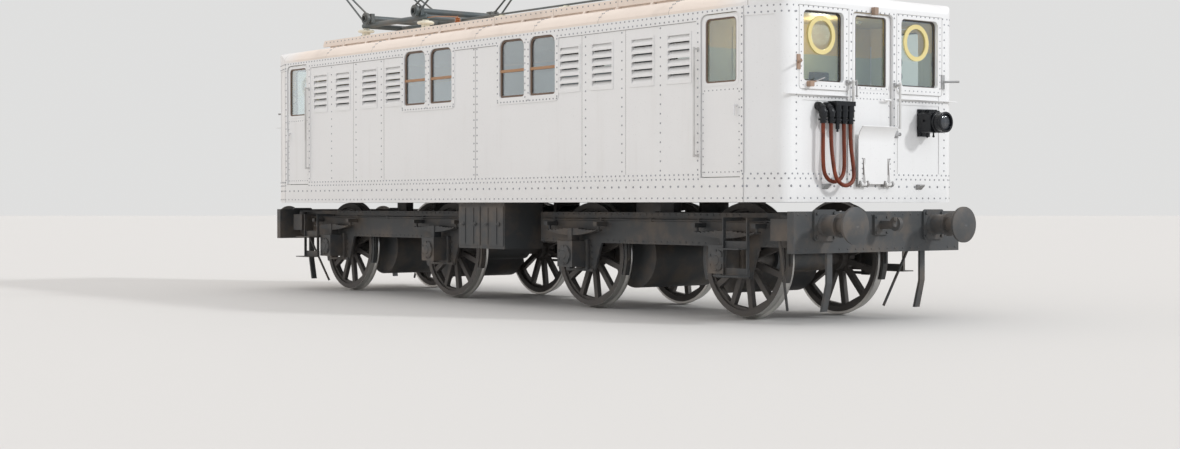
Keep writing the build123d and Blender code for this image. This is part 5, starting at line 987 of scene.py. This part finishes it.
class LOCO_OT_cab_fittings(LocoOperator, bpy.types.Operator):
    """Add the ceiling with its lamp, gauges, pipes and switch boxes inside both cabs"""

    bl_idname = "loco.cab_fittings"
    bl_label = "Cab fittings"

    def execute(self, context):
        case = [(0, -0.03), (0.06, -0.03), (0.066, 0), (0.066, 0.012), (0.056, 0.012), (0.056, 0.004),
                (0, 0.004)]
        face = [(0, 0.006), (0.054, 0.006), (0.054, 0.0045), (0, 0.0045)]
        bowl = [(0, -0.045), (0.07, -0.035), (0.1, 0), (0, 0)]
        for end, sign in ENDS:
            dark, dial, lining = bmesh.new(), bmesh.new(), bmesh.new()
            pour(lining, box((4.2, -1.41, 3.405), (5.06, 1.41, 3.415)),
                 box((5.06, -1.2, 3.405), (5.44, 1.2, 3.415)))
            # Gauges on the end wall, and the strip that two of them stand on
            for y, z in ((0.50, 2.72), (0.50, 2.88), (1.16, 2.9)):
                pour(dark, turned(case, (-1, 0, 0), (5.46, y, z), 28))
                pour(dial, turned(face, (-1, 0, 0), (5.46, y, z), 28))
            pour(dark, box((5.4605, 0.43, 2.62), (5.489, 0.455, 2.98), 0.003))
            # Brake pipes up the corner and along the partition
            for y in (1.2, 1.235):
                pour(dark, bar((5.44, y, 1.545), (5.44, y, 2.45), 0.012))
            for z in (2.2, 2.26, 2.32):
                pour(dark, bar((4.198, -1.2, z), (4.198, 1.2, z), 0.014))
            # Switch boxes on the partition
            for y, z in ((0.1, 2.6), (0.5, 2.75), (0.9, 2.6), (0.5, 2.35)):
                pour(dark, box((4.1985, y - 0.13, z - 0.09), (4.28, y + 0.13, z + 0.09), 0.01))
            pour(dial, turned(bowl, UP, (4.75, 0.55, 3.40)))
            at_end(sign, dark, dial, lining)
            finish_piece(f"cab_ceiling_{end}", lining, "cab_paint", smooth=False)
            finish_piece(f"cab_fittings_{end}", dark, "frame_paint")
            finish_piece(f"cab_dials_{end}", dial, "insulator")
        return {"FINISHED"}


class LOCO_OT_roof_trims(LocoOperator, bpy.types.Operator):
    """Add roof-paint fillers that close the gap under the raised roof as painted light, brown insulators with
    their leads, bolts and braided jumpers
    """

    bl_idname = "loco.roof_trims"
    bl_label = "Roof trims"

    def execute(self, context):
        lit_gap_boards = bmesh.new()
        # Painted light: fillers in roof paint close the shaded gap under the raised roof, so that it reads as
        # lit roof
        for side in BOTH:
            pour(lit_gap_boards, box((-4.3, side * 1.163, 3.59), (4.3, side * 1.168, 3.66)))
        finish_piece("raised_roof_lit_gap_boards", lit_gap_boards, "roof_paint", smooth=False)
        skirts = [(0, -0.004), (0.05, -0.004), (0.05, 0.012), (0.03, 0.02), (0.045, 0.028), (0.045, 0.036),
                  (0.028, 0.044), (0.043, 0.052), (0.043, 0.06), (0.026, 0.068), (0.04, 0.076), (0.04, 0.084),
                  (0.018, 0.09), (0, 0.09)]
        x, y = 1.56, 0.72
        foot = RAISED_TOP_Z - RAISED_RISE * y * y
        nut, bolt = bolt_shape(0.022), bolt_shape(0.011)
        for end, sign in ENDS:
            brown, lead, bolts = bmesh.new(), bmesh.new(), bmesh.new()
            pour(brown, turned(skirts, UP, (x, y, foot)))
            pour(lead, bar((x, y, foot + 0.088), (x, y, foot + 0.112), 0.008),
                 bar((x, y, foot + 0.1), (2.2, 0.66, 3.955), 0.007),
                 bar((2.2, 0.66, 3.955), (2.50, 0.625, 3.965), 0.007))
            # A nut on each corner of the pantograph's base, and bolts round the insulator's foot below it
            for corner_x, corner_y in rectangle(BASE_X, BASE_Y):
                stamp(bolts, nut, UP, (PANTOGRAPH_X + corner_x, corner_y, 4.0145))
                for along, across in ring(4, 0.074, 45):
                    stamp(bolts, bolt, UP, (PANTOGRAPH_X + corner_x + along, corner_y + across, BASE_FOOT_Z))
            at_end(sign, brown, lead, bolts)
            finish_piece(f"lead_insulator_{end}", brown, "insulator_brown")
            finish_piece(f"roof_lead_{end}", lead, "copper")
            finish_piece(f"base_bolts_{end}", bolts, "pantograph_steel", smooth=False)
            # Braided jumpers hooped round the elbows, carried by the lower arms
            for arm, way in (("fore", 1), ("aft", -1)):
                hoops = bmesh.new()
                for side in BOTH:
                    pour(hoops, hoop((sign * PANTOGRAPH_X + way * 1.8249, side * 0.6, 4.7854)))
                finish_piece(f"elbow_jumpers_{end}_{arm}", hoops, "copper",
                             f"{end}_pantograph_lower_{arm}_arm")
        drop(nut, bolt)
        return {"FINISHED"}


class LOCO_OT_running_gear(LocoOperator, bpy.types.Operator):
    """Add covers, bolts, rivets and pipes to the bogies, the buffers and the boxes under the floor"""

    bl_idname = "loco.running_gear"
    bl_label = "Running gear"

    def execute(self, context):
        nut, rivet, stud = bolt_shape(0.014), rivet_shape(0.014), bolt_shape(0.02)
        cover = [(0, -0.002), (0.118, -0.002), (0.118, 0.014), (0.1, 0.02), (0.06, 0.026), (0.052, 0.034),
                 (0, 0.034)]
        for end, sign in ENDS:
            covers, bolts, pipes = bmesh.new(), bmesh.new(), bmesh.new()
            for side in BOTH:
                out = (0, side, 0)
                for axle in AXLES[:2]:
                    pour(covers, turned(cover, out, (axle, side * 1.2302, AXLE_Z), 32))
                    for along, up in ring(6, 0.106, 30):
                        stamp(bolts, nut, out, (axle + along, side * 1.2445, AXLE_Z + up))
                    # Axle-box guides, bolted to the frame plate beside the box
                    for way in BOTH:
                        pour(covers, box((axle + way * 0.158, side * 0.9802, 0.47),
                                         (axle + way * 0.2, side * 1.03, 0.84), 0.004))
                        for z in (0.52, 0.60, 0.68, 0.76):
                            stamp(bolts, nut, out, (axle + way * 0.225, side * 0.982, z))
                    # Tie bar under the horns
                    pour(covers, box((axle - 0.27, side * 0.981, 0.445), (axle + 0.27, side, 0.48), 0.004))
                # Rivets along the frame plate, where no axle box or headstock covers them
                spots = [(x, 1.155) for x in row(0.76, 4.45, 0.11)]
                spots += [(x, 0.83) for x in row(0.76, 5.1, 0.11)
                          if all(abs(x - axle) >= 0.45 for axle in AXLES)]
                for x, z in spots:
                    stamp(bolts, rivet, out, (x, side * 0.98, z))
                # Bolts of the buffers' base plates
                for across, up in rectangle(0.13, 0.13):
                    stamp(bolts, stud, AHEAD, (5.6853, side * BUFFER_Y + across, BUFFER_Z + up))
                # Air pipe along the frame plate with its clips
                pour(pipes, bar((0.8, side, 1.09), (5.55, side, 1.09), 0.014))
                for x in (1.05, 2.0, 2.95, 3.8, 4.9):
                    pour(pipes, box((x - 0.014, side * 0.979, 1.07), (x + 0.014, side * 1.018, 1.11), 0.003))
            # Rivets across the headstock, where no buffer or drawhook plate covers them
            for z in (0.79, 1.165):
                for y in row(-1.27, 1.27, 0.127):
                    if abs(abs(y) - BUFFER_Y) > 0.18 and (z < 1 or abs(y) > 0.12):
                        stamp(bolts, rivet, AHEAD, (5.66, y, z))
            for across, up in rectangle(0.085, 0.085):
                stamp(bolts, nut, AHEAD, (5.6905, across, BUFFER_Z + up))
            at_end(sign, covers, bolts, pipes)
            body = f"{end}_bogie"
            finish_piece(f"axle_box_covers_{end}", covers, "frame_paint", body=body)
            finish_piece(f"bogie_bolts_{end}", bolts, "frame_paint", body=body, smooth=False)
            finish_piece(f"bogie_pipes_{end}", pipes, "frame_paint", body=body)
        drop(nut, rivet, stud)
        hung = bmesh.new()
        knob = [(0, 0), (0.03, 0), (0.03, 0.008), (0.014, 0.012), (0.014, 0.022), (0, 0.022)]
        for side in BOTH:
            # Knobs and bars of the boxes' lids
            for x in (-0.4, -0.13, 0.13, 0.4):
                pour(hung, turned(knob, (0, side, 0), (x, side * 1.4195, 1.02), 16),
                     box((x - 0.045, side * 1.436, 1.012), (x + 0.045, side * 1.444, 1.028), 0.003))
            # Air pipe under the sole bar with its clips
            y = side * 1.235
            pour(hung, bar((-5.0, y, 1.338), (5.0, y, 1.338), 0.014))
            for x in (-4.6, -3.8, -2.1, -1.2, 1.2, 2.1, 3.8, 4.6):
                pour(hung, box((x - 0.016, y - 0.02, 1.32), (x + 0.016, y + 0.02, 1.356), 0.003),
                     box((x - 0.008, y - 0.004, 1.35), (x + 0.008, y + 0.004, 1.501)))
        finish_piece("underfloor_pipes", hung, "frame_paint")
        return {"FINISHED"}


def new_light(name, kind, energy, color):
    data = bpy.data.lights.new(name, kind)
    data.energy = energy
    data.color = color
    light = new_object(name, data)
    light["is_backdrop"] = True
    return light


class LOCO_OT_studio(LocoOperator, bpy.types.Operator):
    """Set up the floor, the lights and the camera"""

    bl_idname = "loco.studio"
    bl_label = "Studio"

    def execute(self, context):
        scene = context.scene
        studio = scene.loco_studio
        scene.view_settings.view_transform = "Standard"
        ground = bmesh.new()
        bmesh.ops.create_grid(ground, x_segments=1, y_segments=1, size=400)
        move(ground, Matrix.Translation((0, 0, -0.001)))
        floor = new_object("floor", as_mesh(ground, "floor"))
        sockets = {"Base Color": rgba(studio.floor), "Roughness": 0.8, "Specular IOR Level": 0.2}
        floor.data.materials.append(Finish("Floor").surface(sockets))
        floor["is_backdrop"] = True

        world = bpy.data.worlds.new("Studio light")
        scene.world = world
        world.use_nodes = True
        tree = world.node_tree
        tree.nodes.clear()

        def add(kind, sockets=None, **settings):
            return add_node(tree, kind, sockets, **settings)

        def ramp(value, *ends):
            """Colour that goes from one tone to another as the value goes from -1 to 1."""
            share = add("MapRange", {"Value": value, "From Min": -1.0})
            node = add("ValToRGB", {0: share.outputs[0]})
            for element, tone in zip(node.color_ramp.elements, ends):
                element.color = rgba(tone)
            return node.outputs[0]

        # Warm light from behind and the right, cooler and weaker from ahead and the left, more from above
        axes = add("SeparateXYZ", {0: add("TexCoord").outputs["Generated"]}).outputs
        tint = ramp(axes[0], (1.0, 0.93, 0.875), (0.80, 0.85, 0.92))
        shade = ramp(axes[1], (1.0, 1.0, 1.0), (0.76, 0.76, 0.76))
        both = add("VectorMath", {0: tint, 1: shade}, operation="MULTIPLY")
        overhead = add("MapRange", {"Value": axes[2], "To Min": studio.sky, "To Max": studio.sky * 1.5})
        light = add("Background", {"Color": both.outputs[0], "Strength": overhead.outputs[0]})
        plain = add("Background", {"Color": (0.74, 0.74, 0.735, 1)})
        seen = add("LightPath").outputs["Is Camera Ray"]
        mixed = add("MixShader", {0: seen, 1: light.outputs[0], 2: plain.outputs[0]})
        add("OutputWorld", {0: mixed.outputs[0]})

        sun = new_light("key", "SUN", studio.sun, (0.98, 0.99, 1.0))
        sun.data.angle = math.radians(5)
        sun.rotation_euler = Vector((1.0, 0.55, 0.62)).to_track_quat("Z", "Y").to_euler()
        for sign in BOTH:
            lamp = new_light("cab light", "POINT", studio.cab, (1.0, 0.90, 0.72))
            lamp.data.shadow_soft_size = 0.12
            lamp.location = (sign * 4.75, 0, 3.25)

        lens = bpy.data.cameras.new("camera")
        lens.lens = studio.focal
        lens.sensor_width = 36
        lens.clip_end = 200
        camera = new_object("camera", lens)
        pitch = math.radians(0.66)
        way = Vector((-0.7839 * math.cos(pitch), 0.6209 * math.cos(pitch), -math.sin(pitch)))
        camera.location = (19.09, -14.72, 1.28 + LIFT)
        camera.rotation_euler = way.to_track_quat("-Z", "Y").to_euler()
        scene.camera = camera
        return {"FINISHED"}


class LOCO_PT_panel(bpy.types.Panel):
    """Lists the steps and their values."""

    bl_idname = "LOCO_PT_panel"
    bl_label = "Locomotive"
    bl_space_type = "VIEW_3D"
    bl_region_type = "UI"
    bl_category = "Locomotive"

    def draw(self, context):
        for group in (context.scene.loco_finish, context.scene.loco_rivets, context.scene.loco_studio):
            part = self.layout.box()
            for name in group.__annotations__:
                part.prop(group, name)
        for operator in STEPS:
            self.layout.operator(operator.bl_idname)


GROUPS = {"loco_finish": LocoFinish, "loco_rivets": LocoRivets, "loco_studio": LocoStudio}
STEPS = (LOCO_OT_finishes, LOCO_OT_rivets, LOCO_OT_seams_and_shadow, LOCO_OT_window_beads, LOCO_OT_jumper_cables,
         LOCO_OT_lamps, LOCO_OT_end_trims, LOCO_OT_cab_fittings, LOCO_OT_roof_trims, LOCO_OT_running_gear,
         LOCO_OT_studio)


def register():
    for name, group in GROUPS.items():
        bpy.utils.register_class(group)
        setattr(bpy.types.Scene, name, bpy.props.PointerProperty(type=group))
    for step in STEPS:
        bpy.utils.register_class(step)
    bpy.utils.register_class(LOCO_PT_panel)


def unregister():
    bpy.utils.unregister_class(LOCO_PT_panel)
    for step in reversed(STEPS):
        bpy.utils.unregister_class(step)
    for name, group in GROUPS.items():
        delattr(bpy.types.Scene, name)
        bpy.utils.unregister_class(group)


def corners():
    return [list(corner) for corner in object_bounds()]


def main():
    register()
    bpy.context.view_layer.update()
    for step in STEPS:
        group, name = step.bl_idname.split(".")
        getattr(getattr(bpy.ops, group), name)()


if __name__ == "__main__":
    main()
